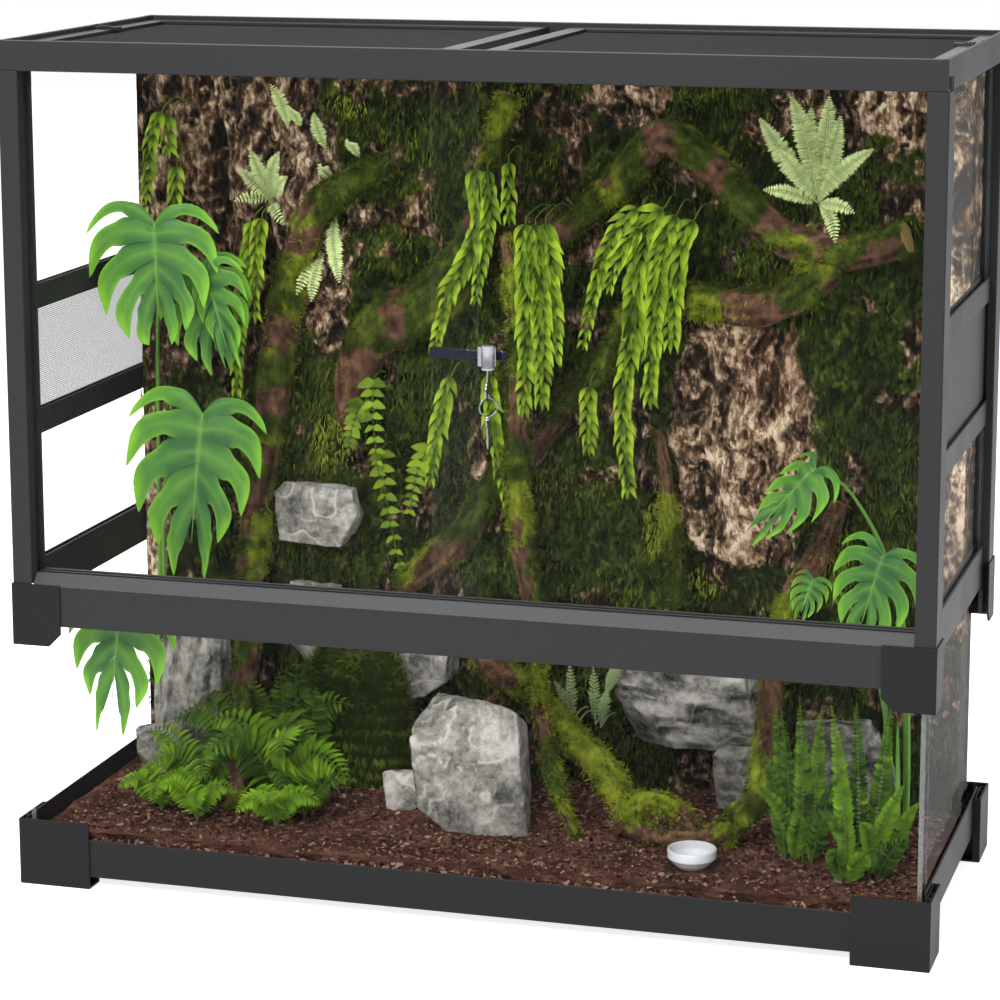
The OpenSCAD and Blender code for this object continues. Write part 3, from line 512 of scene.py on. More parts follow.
def wall_zones(x, z):
    """How much of the wall at x, z is upright bark, craggy rock and moss."""
    p = xyz(x / 60, 0, z / 60)
    n = fbm(p, 4, 5)
    limit = -345 + 110 * smooth(630, 740, z)
    bark = (1 - smooth(-10, 15, x - limit + 60 * n)) * smooth(490, 530, z + 60 * n)
    rock = 1 - smooth(0.88, 1.05, oval(x, z, 236, 478, 88, 165) + 0.35 * n)
    for spot in ROCKY:
        rock = np.maximum(rock, 1 - smooth(0.8, 1.05, oval(x, z, *spot) + 0.5 * n))
    bare = smooth(0.08, 0.24, fbm(p * 1.7 + 9.0, 4, 23))
    moss = (1 - np.maximum(bark, rock)) * (1 - 0.9 * bare)
    return bark, rock * (1 - bark), moss


def wall_relief(x, y, z):
    """Height of the moulding in mm, how high in its folds each point is (a level that paints shade into the
    hollows and highlights onto the ridges, besides setting the tone of each zone), and its moss.
    """
    bark, rock, moss = wall_zones(x, z)
    p = xyz(x, y, z)
    warp = fbm(p / 60, 3, 31)[:, None] * np.array([26.0, 8.0, 30.0])
    q = p + warp
    ridges = ridged(q / np.array([27.0, 60.0, 230.0]), 4, 41)
    crags = ridged(q / np.array([44.0, 60.0, 105.0]), 4, 51)
    small = q + fbm(p / 16, 2, 37)[:, None] * np.array([9.0, 4.0, 14.0])
    crinkle = ridged(small / np.array([8.5, 20.0, 17.0]), 3, 61)
    soft = fbm(p / np.array([70.0, 70.0, 90.0]), 4, 71)
    lumps = fbm(p / 17.0, 3, 81)
    rest = 1 - bark - rock
    h = (bark * (20.0 * (ridges - 0.55) + 6.5 * (crinkle - 0.5))
         + rock * (26.0 * (crags - 0.5) + 8.5 * (crinkle - 0.5))
         + rest * (12.0 * soft + 5.0 * lumps + 4.0 * (crags - 0.5) + 3.0 * (crinkle - 0.5)))
    # painted shade and highlights: the fold and ridge terms darken the hollows and lighten the ridge tops;
    # the zone terms set each zone's tone
    lift = (0.8 * crinkle + bark * (0.5 * ridges + 0.14) + rock * (0.62 * crags + 0.2)
            + rest * (0.34 + 0.3 * lumps) - 0.28)
    h = np.where(h > 14, 14 + (h - 14) * 0.3, h)
    return np.clip(h, -12, HIGHEST), np.clip(lift, 0, 1.2), moss


STEP = 2.3
WX, BACK_X, BACK_Y = 480.8, 474.3, 195.0  # half widths in front and at the back, and the rear face
side_y = np.arange(168.2, 121, -STEP)
left = [(-BACK_X, 195.5), (-BACK_X, 182), (-BACK_X, 169.5)] + [(-WX, y) for y in side_y]
front_x = np.linspace(-WX + 2, WX - 2, int(2 * WX / STEP))
front = [(x, float(bark_front(x))) for x in front_x]
cols = np.array(left + front + [(-x, y) for x, y in reversed(left)])
n_left = len(left)
is_side = np.ones(len(cols))
is_side[n_left:-n_left] = 0
WALL_LOW, WALL_HIGH, CAP_ROWS = 58.0, 878.0, 8
rows_z = np.linspace(WALL_LOW, WALL_HIGH, int((WALL_HIGH - WALL_LOW) / STEP))
X = np.tile(cols[:, 0], (len(rows_z), 1))
Y = np.tile(cols[:, 1], (len(rows_z), 1))
Z = np.repeat(rows_z[:, None], len(cols), 1)
S = np.tile(is_side, (len(rows_z), 1))
h, deep, moss = [v.reshape(X.shape) for v in wall_relief(X.ravel(), Y.ravel() * S.ravel(), Z.ravel())]
ends = smooth(0, 16, WX - np.abs(X))
top_fade = smooth(0, 10, 880 - Z)
relief = h * ends * (0.4 + 0.6 * top_fade)
inward = (HIGHEST - h) * 0.16
YY = np.where(S > 0, Y, Y - relief)
# painted shade: the wall's side parts are made darker than its front
deep = deep - 0.16 * S
XX = np.where(S > 0, X - np.sign(X) * inward * (Y < 166), X)
wall_points = np.stack([XX, YY, Z], -1)
cap = []
for k in range(1, CAP_ROWS + 1):
    t = k / CAP_ROWS
    row = wall_points[-1].copy()
    row[:, 1] += (188 - row[:, 1]) * t
    row[:, 0] *= 1 - 0.012 * t
    row[:, 2] = 878.5 - 2.5 * noise(row / 14.0, 7) * (t < 1) - 2.5
    cap.append(row)
wall_all = np.concatenate([wall_points, np.array(cap)])


def padded_rows(a):
    return np.concatenate([a, np.repeat(a[-1:], CAP_ROWS, 0)]).ravel()


halves = []
middle_col = len(cols) // 2
for first, last in ((0, middle_col + 1), (middle_col, len(cols))):
    half = Batch("moss", "deep")
    half.add(wall_all[:, first:last], grid_faces(len(wall_all), last - first)[:, ::-1],
             moss=padded_rows(moss[:, first:last]), deep=padded_rows(deep[:, first:last]))
    halves.append(half)
bx, bz = np.meshgrid(np.arange(-474, 475, 12.0), np.arange(60, 878, 12.0))
back = xyz(bx.ravel(), BACK_Y, bz.ravel())
back[:, 1] += 1.3 * fbm(back / 30, 3, 3)
halves[0].add(back, grid_faces(*bx.shape), deep=0.45 + 0.2 * fbm(back / 50, 3, 8))

look = Look("moulded_bark", rough=0.7, spec=0.08)
fine = look.clouds(230.0, 6.0, 0.7, (1.0, 1.0, 0.5))
folds = look.clouds(75.0, 5.0, 0.6, (1.0, 1.0, 0.55))
wide = look.clouds(13.0, 4.0, 0.6, (1.0, 1.0, 0.5))
# painted shade and highlights: the level kept on the points darkens the hollows and lightens the ridges, and
# the level also drops along the creases of the folds pattern; the ramps below make low levels near black and
# high ones pale cream
crease = look.times(look.math("ABSOLUTE", look.math("SUBTRACT", folds, 0.5)), 5.0)
crease = look.math("MINIMUM", crease, 1.0)
level = look.vary(look.vary(look.kept("deep"), fine, 1.3), crease, 0.38, 0.42)
stone_side = look.ramp(level, [
    (0.2, (0.004, 0.003, 0.002)), (0.4, (0.04, 0.025, 0.016)), (0.56, (0.14, 0.088, 0.05)),
    (0.74, (0.38, 0.27, 0.17)), (0.94, (0.76, 0.62, 0.44))])
brown = look.ramp(level, [
    (0.2, (0.004, 0.0025, 0.0015)), (0.42, (0.042, 0.023, 0.012)),
    (0.64, (0.15, 0.086, 0.046)), (0.96, (0.46, 0.33, 0.22))])
color = look.mix(look.mask(wide, 0.4, 0.62), stone_side, brown)
green = look.ramp(level, [
    (0.22, (0.003, 0.005, 0.001)), (0.52, (0.022, 0.033, 0.005)), (0.95, (0.1, 0.13, 0.016))])
edge = look.vary(look.kept("moss"), fine, 0.9)
look.set("Base Color", look.mix(look.mask(edge, 0.42, 0.6), color, green))
look.bump(look.plus(fine, look.times(crease, 0.7)), 3.0, 1.0)
halves[0].build("wall_left", look.material, "frame", "bark_foam", "back_wall")
halves[1].build("wall_right", look.material, "frame", "bark_foam", "back_wall")

# moss: hanging blades where the mask is high

BLADE = np.array([[-0.5, 0, 0], [0.5, 0, 0], [0.32, 0.55, 0.1], [-0.32, 0.55, 0.1], [0.0, 1.0, 0.0]])
BLADE_QUAD, BLADE_TRI = np.array([[0, 1, 2, 3]]), np.array([[3, 2, 4]])


def blades(batch, place, along, face, length, width, tone):
    axes = leaf_axes(along, face, length, width)
    axes[:, 2] *= 0.9
    m = len(place)
    points = place[:, None, :] + np.einsum("nk,mkj->mnj", BLADE, axes)
    start = batch.count
    base = (np.arange(m) * 5)[:, None]
    spread = {"tone": np.repeat(tone, 5), "tip": np.tile([0, 0, 0.5, 0.5, 1.0], m)}
    batch.add(points, base + BLADE_QUAD, **spread)
    batch.faces.append(base + BLADE_TRI + start)


def moss_look(name, dark, mid, light):
    look = Look(name, rough=0.85, spec=0.05)
    tone = look.plus(look.times(look.kept("tone"), 0.75), look.times(look.kept("tip"), 0.3))
    look.set("Base Color", look.ramp(tone, [(0.05, dark), (0.5, mid), (1.0, light)]))
    return look.material


wall_moss = moss_look("wall_moss", (0.003, 0.006, 0.001), (0.045, 0.075, 0.009), (0.24, 0.29, 0.02))
g = rng(11)
picks = 112000
row = g.integers(4, len(rows_z) - 1, picks)
col = g.integers(n_left, len(cols) - n_left, picks)
clump = fbm(wall_points[row, col] / 45.0, 3, 91)
keep = (g.random(picks) < moss[row, col] * (0.85 + 0.5 * clump))
row, col, clump = row[keep], col[keep], clump[keep]
spot = wall_points[row, col] + g.normal(0, 1.2, (len(row), 3)) + np.array([0, -0.6, 0])
hang = xyz(g.normal(0, 0.28, len(row)), -0.25 - 0.25 * g.random(len(row)), -1)
carpet = Batch("tone", "tip")
bright = np.zeros(len(row))
for place in GLOW:
    near = oval(spot[:, 0], spot[:, 2], *place) + 0.4 * clump
    bright = np.maximum(bright, 1 - smooth(0.7, 1.1, near))
blades(carpet, spot, hang, g.normal(0, 1, (len(row), 3)), g.uniform(4, 10, len(row)),
       g.uniform(0.8, 1.8, len(row)),
       np.clip(0.24 + 0.75 * clump + g.normal(0, 0.27, len(row)) + 0.9 * bright, 0, 1.3))
carpet.build("wall_moss", wall_moss, "frame", "bark_foam", "back_wall")


# Branches

LIMBS = [  # x and z along each branch, its radius, and how far it stands out from the wall
    [[-292, 63.4, 8, 190], [-305, 120, 9, 150], [-318, 200, 11, 90], [-333, 300, 13, 25],
     [-328, 400, 15, 4], [-311, 495, 16, 2], [-290, 610, 16, 0], [-262, 700, 15, 2],
     [-216, 744, 13, 2], [-166, 770, 10, 0]],
    [[-31, 849, 10, 0], [-45, 788, 12, 2], [-59, 710, 14, 4], [-88, 648, 16, 4], [-129, 613, 17, 2],
     [-188, 576, 16, 0], [-219, 500, 12, 0], [-213, 443, 8, 0]],
    [[-22, 696, 9, 30], [-8, 631, 10, 50], [-1, 565, 11, 55], [-3, 465, 11, 60], [1, 364, 11, 65],
     [15, 285, 10, 75], [28, 215, 8, 110], [60, 130, 6, 155], [92, 63.4, 5, 180]],
    [[-47, 231, 13, 60], [-13, 211, 13, 80], [33, 175, 13, 90], [79, 144, 13, 100], [119, 113, 13, 115],
     [147, 82, 12, 150], [176, 70, 11, 165], [231, 68, 11, 172], [262, 85, 12, 150], [287, 120, 12, 130],
     [291, 168, 12, 110], [288, 230, 11, 70], [297, 307, 11, 20], [323, 354, 12, 4], [344, 411, 9, 0]],
    [[-33, 690, 9, 10], [24, 698, 11, 8], [69, 727, 13, 4], [91, 750, 15, 2], [124, 789, 16, 0],
     [151, 806, 16, 0], [190, 780, 16, 0], [235, 738, 17, 0], [279, 702, 17, 2], [333, 688, 17, 2],
     [387, 698, 17, 4], [413, 707, 16, 6]],
    [[173, 631, 13, 2], [212, 624, 15, 0], [256, 624, 16, 4], [304, 648, 15, 6], [336, 676, 13, 4]],
    [[-4, 440, 9, 8], [30, 498, 10, 6], [70, 540, 12, 4], [94, 580, 12, 0], [109, 619, 10, 0]],
    [[-161, 284, 12, 4], [-119, 316, 15, 0], [-77, 359, 14, 4], [-54, 406, 11, 4], [-34, 428, 8, 0]],
    [[140, 480, 6, 0], [148, 445, 7, 4], [155, 390, 8, 10], [162, 345, 8, 14], [169, 289, 7, 20]],
    [[136, 72, 9, 160], [152, 98, 10, 160], [176, 108, 10, 162], [202, 97, 10, 164], [230, 72, 10, 166],
     [262, 66, 8, 160]],
]
# by number: how much thicker each end is, and how much sunnier its moss
FULLER = {0: (1.3, 1.3), 1: (1.1, 1.9), 2: (1.1, 1.2), 3: (1.35, 1.2), 4: (1.35, 1.2), 5: (1.35, 1.4),
          6: (1.2, 1.3), 7: (1.3, 1.2)}
SUNNIER = {2: 0.12, 3: 0.34, 9: 0.34}
SAWN = 4  # this one ends in a bare cut
limbs = Batch("moss", "deep", "cut", "glow")
tufts = Batch("tone", "tip")
for index, limb in enumerate(LIMBS):
    line = np.array(limb, float)
    nearest = np.min([bark_front(line[:, 0] + d) for d in (-15, -8, 0, 8, 15)], 0)
    route = xyz(line[:, 0], nearest - line[:, 2] - 0.3 - line[:, 3], line[:, 1], line[:, 2])
    route = curve(route, 3.4)
    path, radius = route[:, :3], route[:, 3]
    sides = 20
    shape = (len(path), sides)
    run, way = ring_ways(path, sides)
    a = np.arange(sides) * 2 * np.pi / sides
    length = np.cumsum(np.linalg.norm(np.diff(path, axis=0, prepend=path[:1]), axis=1))
    flat = xyz(np.cos(a) * 2.2, np.sin(a) * 2.2, length[:, None] / 34.0).reshape(-1, 3)
    grooves = (ridged(flat * 1.6, 3, 100 + index) - 0.5).reshape(shape)
    knots = fbm(flat * 0.8, 3, 130 + index).reshape(shape)
    from_end = np.linspace(0, 1, len(path))[:, None]
    more_0, more_1 = FULLER.get(index, (1.1, 1.1))
    fat = more_0 + (more_1 - more_0) * (np.sin(np.pi * from_end ** 1.6) if index == 1 else from_end)
    swell = radius[:, None] * fat * (0.93 + 0.2 * knots) + 2.2 * grooves
    rings = path[:, None] + way * swell[:, :, None]
    rings[:, :, 2] = np.maximum(rings[:, :, 2], SOIL_Z - 3)
    spots = rings.reshape(-1, 3)
    mossy = smooth(-0.12, 0.05, fbm(spots / 38.0, 3, 150).reshape(shape) + 0.14 * way[:, :, 2])
    glow = smooth(0.05, 0.22, fbm(spots / 44.0 + 7, 3, 160).reshape(shape) + SUNNIER.get(index, 0))
    puff = 2.5 * mossy * (0.5 + noise(spots / 7.0, 170).reshape(shape))
    rings = rings + way * puff[:, :, None]
    rings[:, :, 2] = np.maximum(rings[:, :, 2], SOIL_Z - 3)
    cut = np.zeros(shape)
    if index == SAWN:
        cut[-1] = 1
    # painted shade: the level kept on the points darkens the bark's grooves and lightens its ridges
    limbs.add(rings, grid_faces(*shape, True)[:, ::-1], moss=mossy.ravel(),
              deep=(0.5 + 0.8 * grooves).ravel(), cut=cut.ravel(), glow=glow.ravel())
    for end, order in ((0, 1), (-1, -1)):
        hub = path[end] + run[end] * (-2 if end == 0 else 2)
        ring = rings[end]
        around = np.arange(sides)
        fan = np.stack([0 * around + sides, around, (around + 1) % sides], 1)[:, ::order]
        limbs.add(np.vstack([ring, hub]), fan, deep=0.75, cut=1.0 if index == SAWN and end == -1 else 0.0)
    g = rng(200 + index)
    n = int(len(path) * sides * (2.8))
    i, j = g.integers(0, len(path), n), g.integers(0, sides, n)
    keep = g.random(n) < 0.14 + mossy[i, j] * 0.8
    i, j = i[keep], j[keep]
    grow = way[i, j] * 0.8 + g.normal(0, 0.5, (len(i), 3)) + np.array([0, -0.1, -0.35])
    blades(tufts, rings[i, j] + g.normal(0, 1.0, (len(i), 3)), grow, g.normal(0, 1, (len(i), 3)),
           g.uniform(3, 8, len(i)), g.uniform(0.8, 1.8, len(i)),
           np.clip(0.2 + 0.65 * glow[i, j] + g.normal(0, 0.25, len(i)), 0, 1.1))

look = Look("vine_bark", rough=0.8, spec=0.06)
fine = look.clouds(160.0, 5.0, 0.65, (1.0, 1.0, 0.5))
# the kept level carries painted shade in the grooves and painted highlights on the ridges
level = look.vary(look.kept("deep"), fine, 0.9)
wood = look.ramp(level, [
    (0.15, (0.012, 0.005, 0.003)), (0.45, (0.06, 0.029, 0.018)), (0.72, (0.12, 0.06, 0.038)),
    (1.0, (0.24, 0.15, 0.1))])
dim = look.ramp(level, [
    (0.2, (0.007, 0.011, 0.002)), (0.6, (0.035, 0.052, 0.006)), (0.95, (0.1, 0.13, 0.012))])
sunny = look.ramp(level, [
    (0.2, (0.03, 0.04, 0.003)), (0.55, (0.12, 0.15, 0.01)), (0.95, (0.25, 0.29, 0.022))])
green = look.mix(look.kept("glow"), dim, sunny)
speck = look.clouds(420.0, 3.0, 0.6, (1.0, 1.0, 0.4))
edge = look.vary(look.times(look.kept("moss"), 0.72), speck, 2.1, 0.42)
color = look.mix(look.mask(edge, 0.36, 0.56), wood, green)
look.set("Base Color", look.mix(look.kept("cut"), color, (0.2, 0.16, 0.055)))
look.bump(fine, 1.6, 0.8)
limbs.build("branches", look.material, "frame", "branch_moss", "branches")
vine_moss = moss_look("vine_moss", (0.005, 0.01, 0.001), (0.05, 0.075, 0.006), (0.23, 0.27, 0.016))
tufts.build("branch_moss", vine_moss, "frame", "branch_moss", "branches")


# Stones

def icosphere(level):
    import bmesh
    bm = bmesh.new()
    bmesh.ops.create_icosphere(bm, subdivisions=level, radius=1.0)
    bm.verts.ensure_lookup_table()
    points = np.array([v.co for v in bm.verts])
    faces = np.array([[v.index for v in f.verts] for f in bm.faces])
    bm.free()
    return points, faces


def stone_shape(way, size, seed, cuts=9):
    """A stone split by flat breaks, seen from its middle along each row of way."""
    g = rng(seed)
    flats = unit(g.normal(0, 1, (cuts, 3)) * np.array([1.0, 1.0, 0.7]))
    depth = g.uniform(0.74, 0.98, cuts)
    flats = np.vstack([flats, [[1, 0, 0.12], [-1, 0, -0.1], [0, 1, 0], [0.1, -1, 0.1],
                               [0, 0, 1], [0, 0, -1]]])
    depth = np.append(depth, [0.9, 0.9, 0.9, 0.9, 0.92, 1])
    reach = np.min(depth / np.maximum(way @ flats.T, 1e-3), axis=1)
    points = way * np.minimum(reach, 1.4)[:, None]
    rough = 0.045 * ridged(points * 2.4 + seed, 5, seed) + 0.035 * fbm(points * 6 + seed, 3, seed)
    return points * (0.97 + rough)[:, None] * np.asarray(size) / 2


STONES = [  # middle, size, turn, seed, and its bands: none, upright or level
    [(-26, -70, 128), (132, 68, 176), 6, 4, 0],
    [(-112, -8, 72), (70, 50, 54), 20, 9, 0],
    [(-392, 52, 140), (100, 66, 196), -8, 2, 1],
    [(186, 76, 172), (176, 82, 106), -6, 7, 2],
    [(240, 72, 102), (58, 54, 84), 14, 31, 2],
    [(-450, 66, 76), (52, 44, 60), 20, 5, 0],
    [(366, 62, 112), (116, 56, 138), 10, 13, 2],
    [(-256, 92, 366), (118, 40, 70), -4, 21, 0],
    [(-142, 84, 200), (124, 52, 92), 5, 25, 0],
    [(-262, 92, 240), (80, 44, 90), 12, 27, 0],
]
stones = Batch("vein", "tone")
spheres = [icosphere(level) for level in (5, 6)]
for middle, size, angle, seed, bands in STONES:
    way, ico = spheres[max(size) > 85]
    body = stone_shape(way, size, seed)
    c, s = math.cos(math.radians(angle)), math.sin(math.radians(angle))
    body = body @ np.array([[c, s, 0], [-s, c, 0], [0, 0, 1]]) + np.array(middle, float)
    body[:, 2] = np.maximum(body[:, 2], SOIL_Z - 4)
    body[:, 0] = np.clip(body[:, 0], -479, 479)
    p = body + 12 * fbm(body / 30, 3, seed)[:, None]
    web = np.minimum(np.abs(noise(p / np.array([30, 30, 22]), seed + 3)),
                     np.abs(noise(p / np.array([17, 20, 26]), seed + 4)) + 0.03)
    vein = smooth(0.075, 0.01, web)
    streak = fbm(p / np.array([5.0, 9.0, 60.0] if bands == 1 else [40, 20, 6.0]), 3, seed + 5)
    tone = 0.56 + 0.5 * fbm(p / 22, 5, seed + 8) + (0.5 * streak if bands else 0) - (0.06 if bands else 0)
    stones.add(body, ico, vein=vein * (0.3 if bands else 0.62), tone=tone)
look = Look("split_stone", rough=0.8, spec=0.1)
fine = look.clouds(130.0, 8.0, 0.72)
level = look.vary(look.kept("tone"), fine, 1.05)
rock_color = look.ramp(level, [
    (0.1, (0.02, 0.02, 0.018)), (0.36, (0.095, 0.092, 0.082)), (0.62, (0.27, 0.26, 0.232)),
    (0.94, (0.5, 0.48, 0.44))])
look.set("Base Color", look.mix(look.kept("vein"), rock_color, (0.6, 0.59, 0.55)))
look.bump(fine, 2.6, 1.0)
stones.build("stones", look.material, "frame", "stone", "rocks")

# a moss mound on the floor
mound = Batch("tone", "tip")
way, ico = icosphere(4)
hump = way * np.array([62, 34, 128]) * (1 + 0.2 * fbm(way * 2.1, 3, 44))[:, None]
hump += np.array([-200, 62, 130])
hump[:, 2] = np.maximum(hump[:, 2], SOIL_Z - 4)
mound.add(hump, ico, tone=0.25)
g = rng(45)
pick = g.integers(0, len(hump), 15000)
out = unit(hump[pick] - np.array([-200, 62, 120]))
blades(mound, hump[pick] + g.normal(0, 1.5, (len(pick), 3)),
       out * 0.7 + g.normal(0, 0.35, (len(pick), 3)) + np.array([0, -0.1, -0.5]),
       g.normal(0, 1, (len(pick), 3)), g.uniform(6, 14, len(pick)), g.uniform(0.8, 1.7, len(pick)),
       np.clip(0.42 + 0.8 * fbm(hump[pick] / 22, 3, 46) + g.normal(0, 0.18, len(pick)), 0, 1))
mound.build("moss_mound", wall_moss, "frame", "stone", "rocks")


# Soil: a bed with a textured skin and loose chips

SX, SY, SOIL_BASE = 480.6, 196.2, 32.4
soil, chips = Batch("tone"), Batch("tone")


def from_dish(x, y):
    return np.hypot(x - 235, y + 130)


def soil_top(x, y):
    p = xyz(x, y, 0)
    calm = smooth(24, 44, from_dish(x, y))
    rise = smooth(60, 120, y) * 3
    return SOIL_Z + calm * (3.2 * fbm(p / 34, 4, 301) + 1.6 * fbm(p / 9, 2, 305)) + rise - 0.6


nx, ny = ((241, 101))
gx, gy = [v.ravel() for v in np.meshgrid(np.linspace(-SX, SX, nx), np.linspace(-SY, SY, ny))]
bed = xyz(gx, gy, soil_top(gx, gy))
soil.add(bed, grid_faces(ny, nx), tone=0.4 + 0.4 * fbm(bed / 20, 3, 7))
levels = np.linspace(0, 1, 13)[:, None]
for ex, ey, ax, ay in (  # the four sides: x, y and the way out
        (np.linspace(-SX, SX, nx), -SY, 0, -1), (np.linspace(SX, -SX, nx), SY, 0, 1),
        (SX, np.linspace(-SY, SY, ny), 1, 0), (-SX, np.linspace(SY, -SY, ny), -1, 0)):
    ex, ey = np.broadcast_arrays(ex, ey)
    z = SOIL_BASE + (soil_top(ex, ey) - SOIL_BASE) * levels
    lumps = (1.4 + 1.6 * fbm(xyz(ex, ey, z).reshape(-1, 3) / 7, 3, 311)).reshape(z.shape)
    push = np.maximum(lumps * np.sin(np.pi * levels) ** 0.5, 0)
    skin = xyz(ex - ax * push, ey - ay * push, z).reshape(-1, 3)
    soil.add(skin, grid_faces(*z.shape), tone=0.35 + 0.5 * fbm(skin / np.array([16, 16, 6]), 3, 9))
base_x, base_y = np.meshgrid([-SX, SX], [-SY, SY])
soil.add(xyz(base_x.ravel(), base_y.ravel(), SOIL_BASE), np.array([[0, 2, 3, 1]]), tone=0.3)

# loose chips on top
CHIP = np.array([[x, y, z] for z in (-0.5, 0.5) for y in (-0.5, 0.5) for x in (-0.5, 0.5)])
CHIP[:, :2] *= np.array([[1.0, 1.0], [0.7, 0.8], [1.0, 0.9], [0.85, 0.7]] * 2)
CHIP_FACES = np.array([[0, 2, 3, 1], [4, 5, 7, 6], [0, 1, 5, 4], [2, 6, 7, 3], [0, 4, 6, 2], [1, 3, 7, 5]])
g = rng(310)
n = 15000
cx, cy = g.uniform(-SX + 8, SX - 8, n), g.uniform(-SY + 7, 112, n)
clear = from_dish(cx, cy) > 30
cx, cy = cx[clear], cy[clear]
n = len(cx)
long = g.uniform(1.6, 6.5, n) * np.where(g.random(n) < 0.08, 1.5, 1)
spin = unit(xyz(g.normal(0, 1, n), g.normal(0, 1, n), g.normal(0, 0.3, n)))
face = np.array([0, 0, 1.0]) + g.normal(0, 0.35, (n, 3))
axes = leaf_axes(spin, face, long, long * g.uniform(0.3, 0.7, n))
axes[:, 2] *= g.uniform(0.12, 0.3, n)[:, None]
stamp(chips, CHIP, CHIP_FACES, xyz(cx, cy, soil_top(cx, cy) + 0.7), axes,
      tone=np.clip(g.normal(0.5, 0.22, n), 0, 1.2))


def side_chips(x, y, z, out):
    """Chips that lie flat in one side of the bed, behind its glass."""
    n = len(z)
    level, steep = g.normal(0, 1, n), g.normal(0, 0.5, n)
    along = unit(xyz(level * abs(out[1]), level * abs(out[0]), steep))
    axes = leaf_axes(along, np.tile(out, (n, 1)), g.uniform(2.5, 8, n), g.uniform(1.2, 3.5, n))
    axes[:, 2] *= 0.2
    stamp(soil, CHIP, CHIP_FACES, xyz(x, y, z), axes, tone=np.clip(g.normal(0.55, 0.3, n), 0, 1.25))


n = 2600
side_chips(g.uniform(-SX + 8, SX - 8, n), -SY + 1.6, g.uniform(35.5, 59, n), (0.0, -1.0, 0.0))
n = n // 3
sy, sz = g.uniform(-SY + 8, SY - 8, n), g.uniform(35.5, 59, n)
for s in (-1.0, 1.0):
    side_chips(s * (SX - 1.6), sy, sz, (s, 0.0, 0.0))
look = Look("bark_soil", rough=0.9, spec=0.03)
fine = look.clouds(260.0, 5.0, 0.65)
level = look.vary(look.kept("tone"), fine, 0.9)
look.set("Base Color", look.ramp(level, [
    (0.1, (0.014, 0.006, 0.004)), (0.42, (0.06, 0.027, 0.018)),
    (0.72, (0.15, 0.075, 0.052)), (1.0, (0.36, 0.25, 0.18))]))
look.bump(fine, 1.4, 0.9)
soil.build("soil_bed", look.material, "frame", "soil", "soil", flat=True)
chips.build("soil_chips", look.material, "frame", "soil", "soil", flat=True)


# Plants

PINNA, PINNA_FACES = lance(4, 0.36, 0.3, 0.18, 0.8)
LEAF, LEAF_FACES = lance(6, 0.42, 0.4, 0.3, 1.1)
TO_FRONT = (0.1, -1.0, 0.3)


def bow(a, b, lift, side=(0, 0, 0)):
    """Points of an arching stem from a to b."""
    a, b = np.asarray(a, float), np.asarray(b, float)
    t = np.linspace(0, 1, 7)[:, None]
    return a + (b - a) * t + np.sin(np.pi * t ** 0.85) * (np.array([0, 0, lift]) + np.asarray(side, float))


def rooted(batch, point, lift=6):
    """A thin stem from inside the wall to a point in front of it."""
    x, _, z = point
    tube(batch, bow((x, float(bark_front(x)) + 12, z - 5), point, lift), 0.9, 5, tone=0.3)


def frond(batch, path, pairs, length, share, angle, face, tone, start, seed, peak=0.4):
    """A stem with pairs of leaflets: how wide a leaflet is for its length, how far it leans out,
    which way it faces, and where along the stem the first pair is and the longest one."""
    g = rng(seed)
    path = curve(path, 4)
    t = np.linspace(start, 0.985, pairs)
    spot, run, _ = at(path, t)
    face = np.tile(unit(face), (pairs, 1))
    side = unit(np.cross(run, face))
    done = np.clip((t - start * 0.5) / (1.02 - start * 0.5), 0, 1)
    grow = np.sin(np.pi * done ** (math.log(0.5) / math.log(peak))) ** 0.8
    lean = math.radians(angle)
    for s in (-1, 1):
        way = run * math.cos(lean) + s * side * math.sin(lean) + g.normal(0, 0.06, (pairs, 3)) - 0.1 * face
        size = length * np.maximum(grow, 0.12) * g.uniform(0.9, 1.1, pairs)
        axes = leaf_axes(way, face + g.normal(0, 0.15, (pairs, 3)), size, size * share + 0.8)
        stamp(batch, PINNA, PINNA_FACES, spot, axes,
              tone=shaded(np.clip(tone + g.normal(0, 0.12, pairs), 0, 1), PINNA, 0.45))
    tube(batch, path, np.linspace(0.9, 0.35, len(path)), 4, tone=tone * 0.6, vein=0.25)


def chain(batch, line, y, length, seed, gap=12.5):
    """A hanging string of folded leaves in three rows, through points at x, z."""
    g = rng(seed)
    line = np.asarray(line, float)
    path = xyz(line[:, 0], y, line[:, 1])
    path[:, 1] += g.normal(0, 3, len(path))
    path = curve(path, 5)
    rooted(batch, path[0], 10)
    _, _, whole = at(path, [0.0])
    count = max(3, int(whole / gap))
    t = (np.arange(count) + 0.5) / count
    spot, run, _ = at(path, t)
    size = length * g.uniform(0.85, 1.1, count) * np.clip(1.3 - t * 0.62, 0.55, 1.08)
    side = unit(np.cross(run, [0, -1.0, 0]))
    for s in (-1, 1):
        way = run * g.uniform(0.75, 1.05, count)[:, None] + s * side * g.uniform(0.42, 0.75, count)[:, None]
        way = way + np.array([0, -0.3, 0])
        face = np.array([0, -1.0, 0.2]) + s * side * 0.55 + g.normal(0, 0.16, (count, 3))
        stamp(batch, LEAF, LEAF_FACES, spot - np.array([0, 1.2, 0]), leaf_axes(way, face, size, size * 0.33),
              tone=shaded(np.clip(g.normal(0.74, 0.2, count), 0, 1), LEAF, 0.02))
    # painted shade: the back row, behind the others, is made darker so the gaps between leaves look shaded
    way = run + np.array([0, -0.5, 0]) + g.normal(0, 0.12, (count, 3))
    axes = leaf_axes(way, np.tile([0, -1.0, 0], (count, 1)), size, size * 0.28)
    stamp(batch, LEAF, LEAF_FACES, spot + np.array([0, 1.5, 0]), axes,
          tone=shaded(np.clip(g.normal(0.42, 0.16, count), 0, 1), LEAF, 0.0))
    tube(batch, path, 0.7, 5, tone=0.2, vein=0.1)


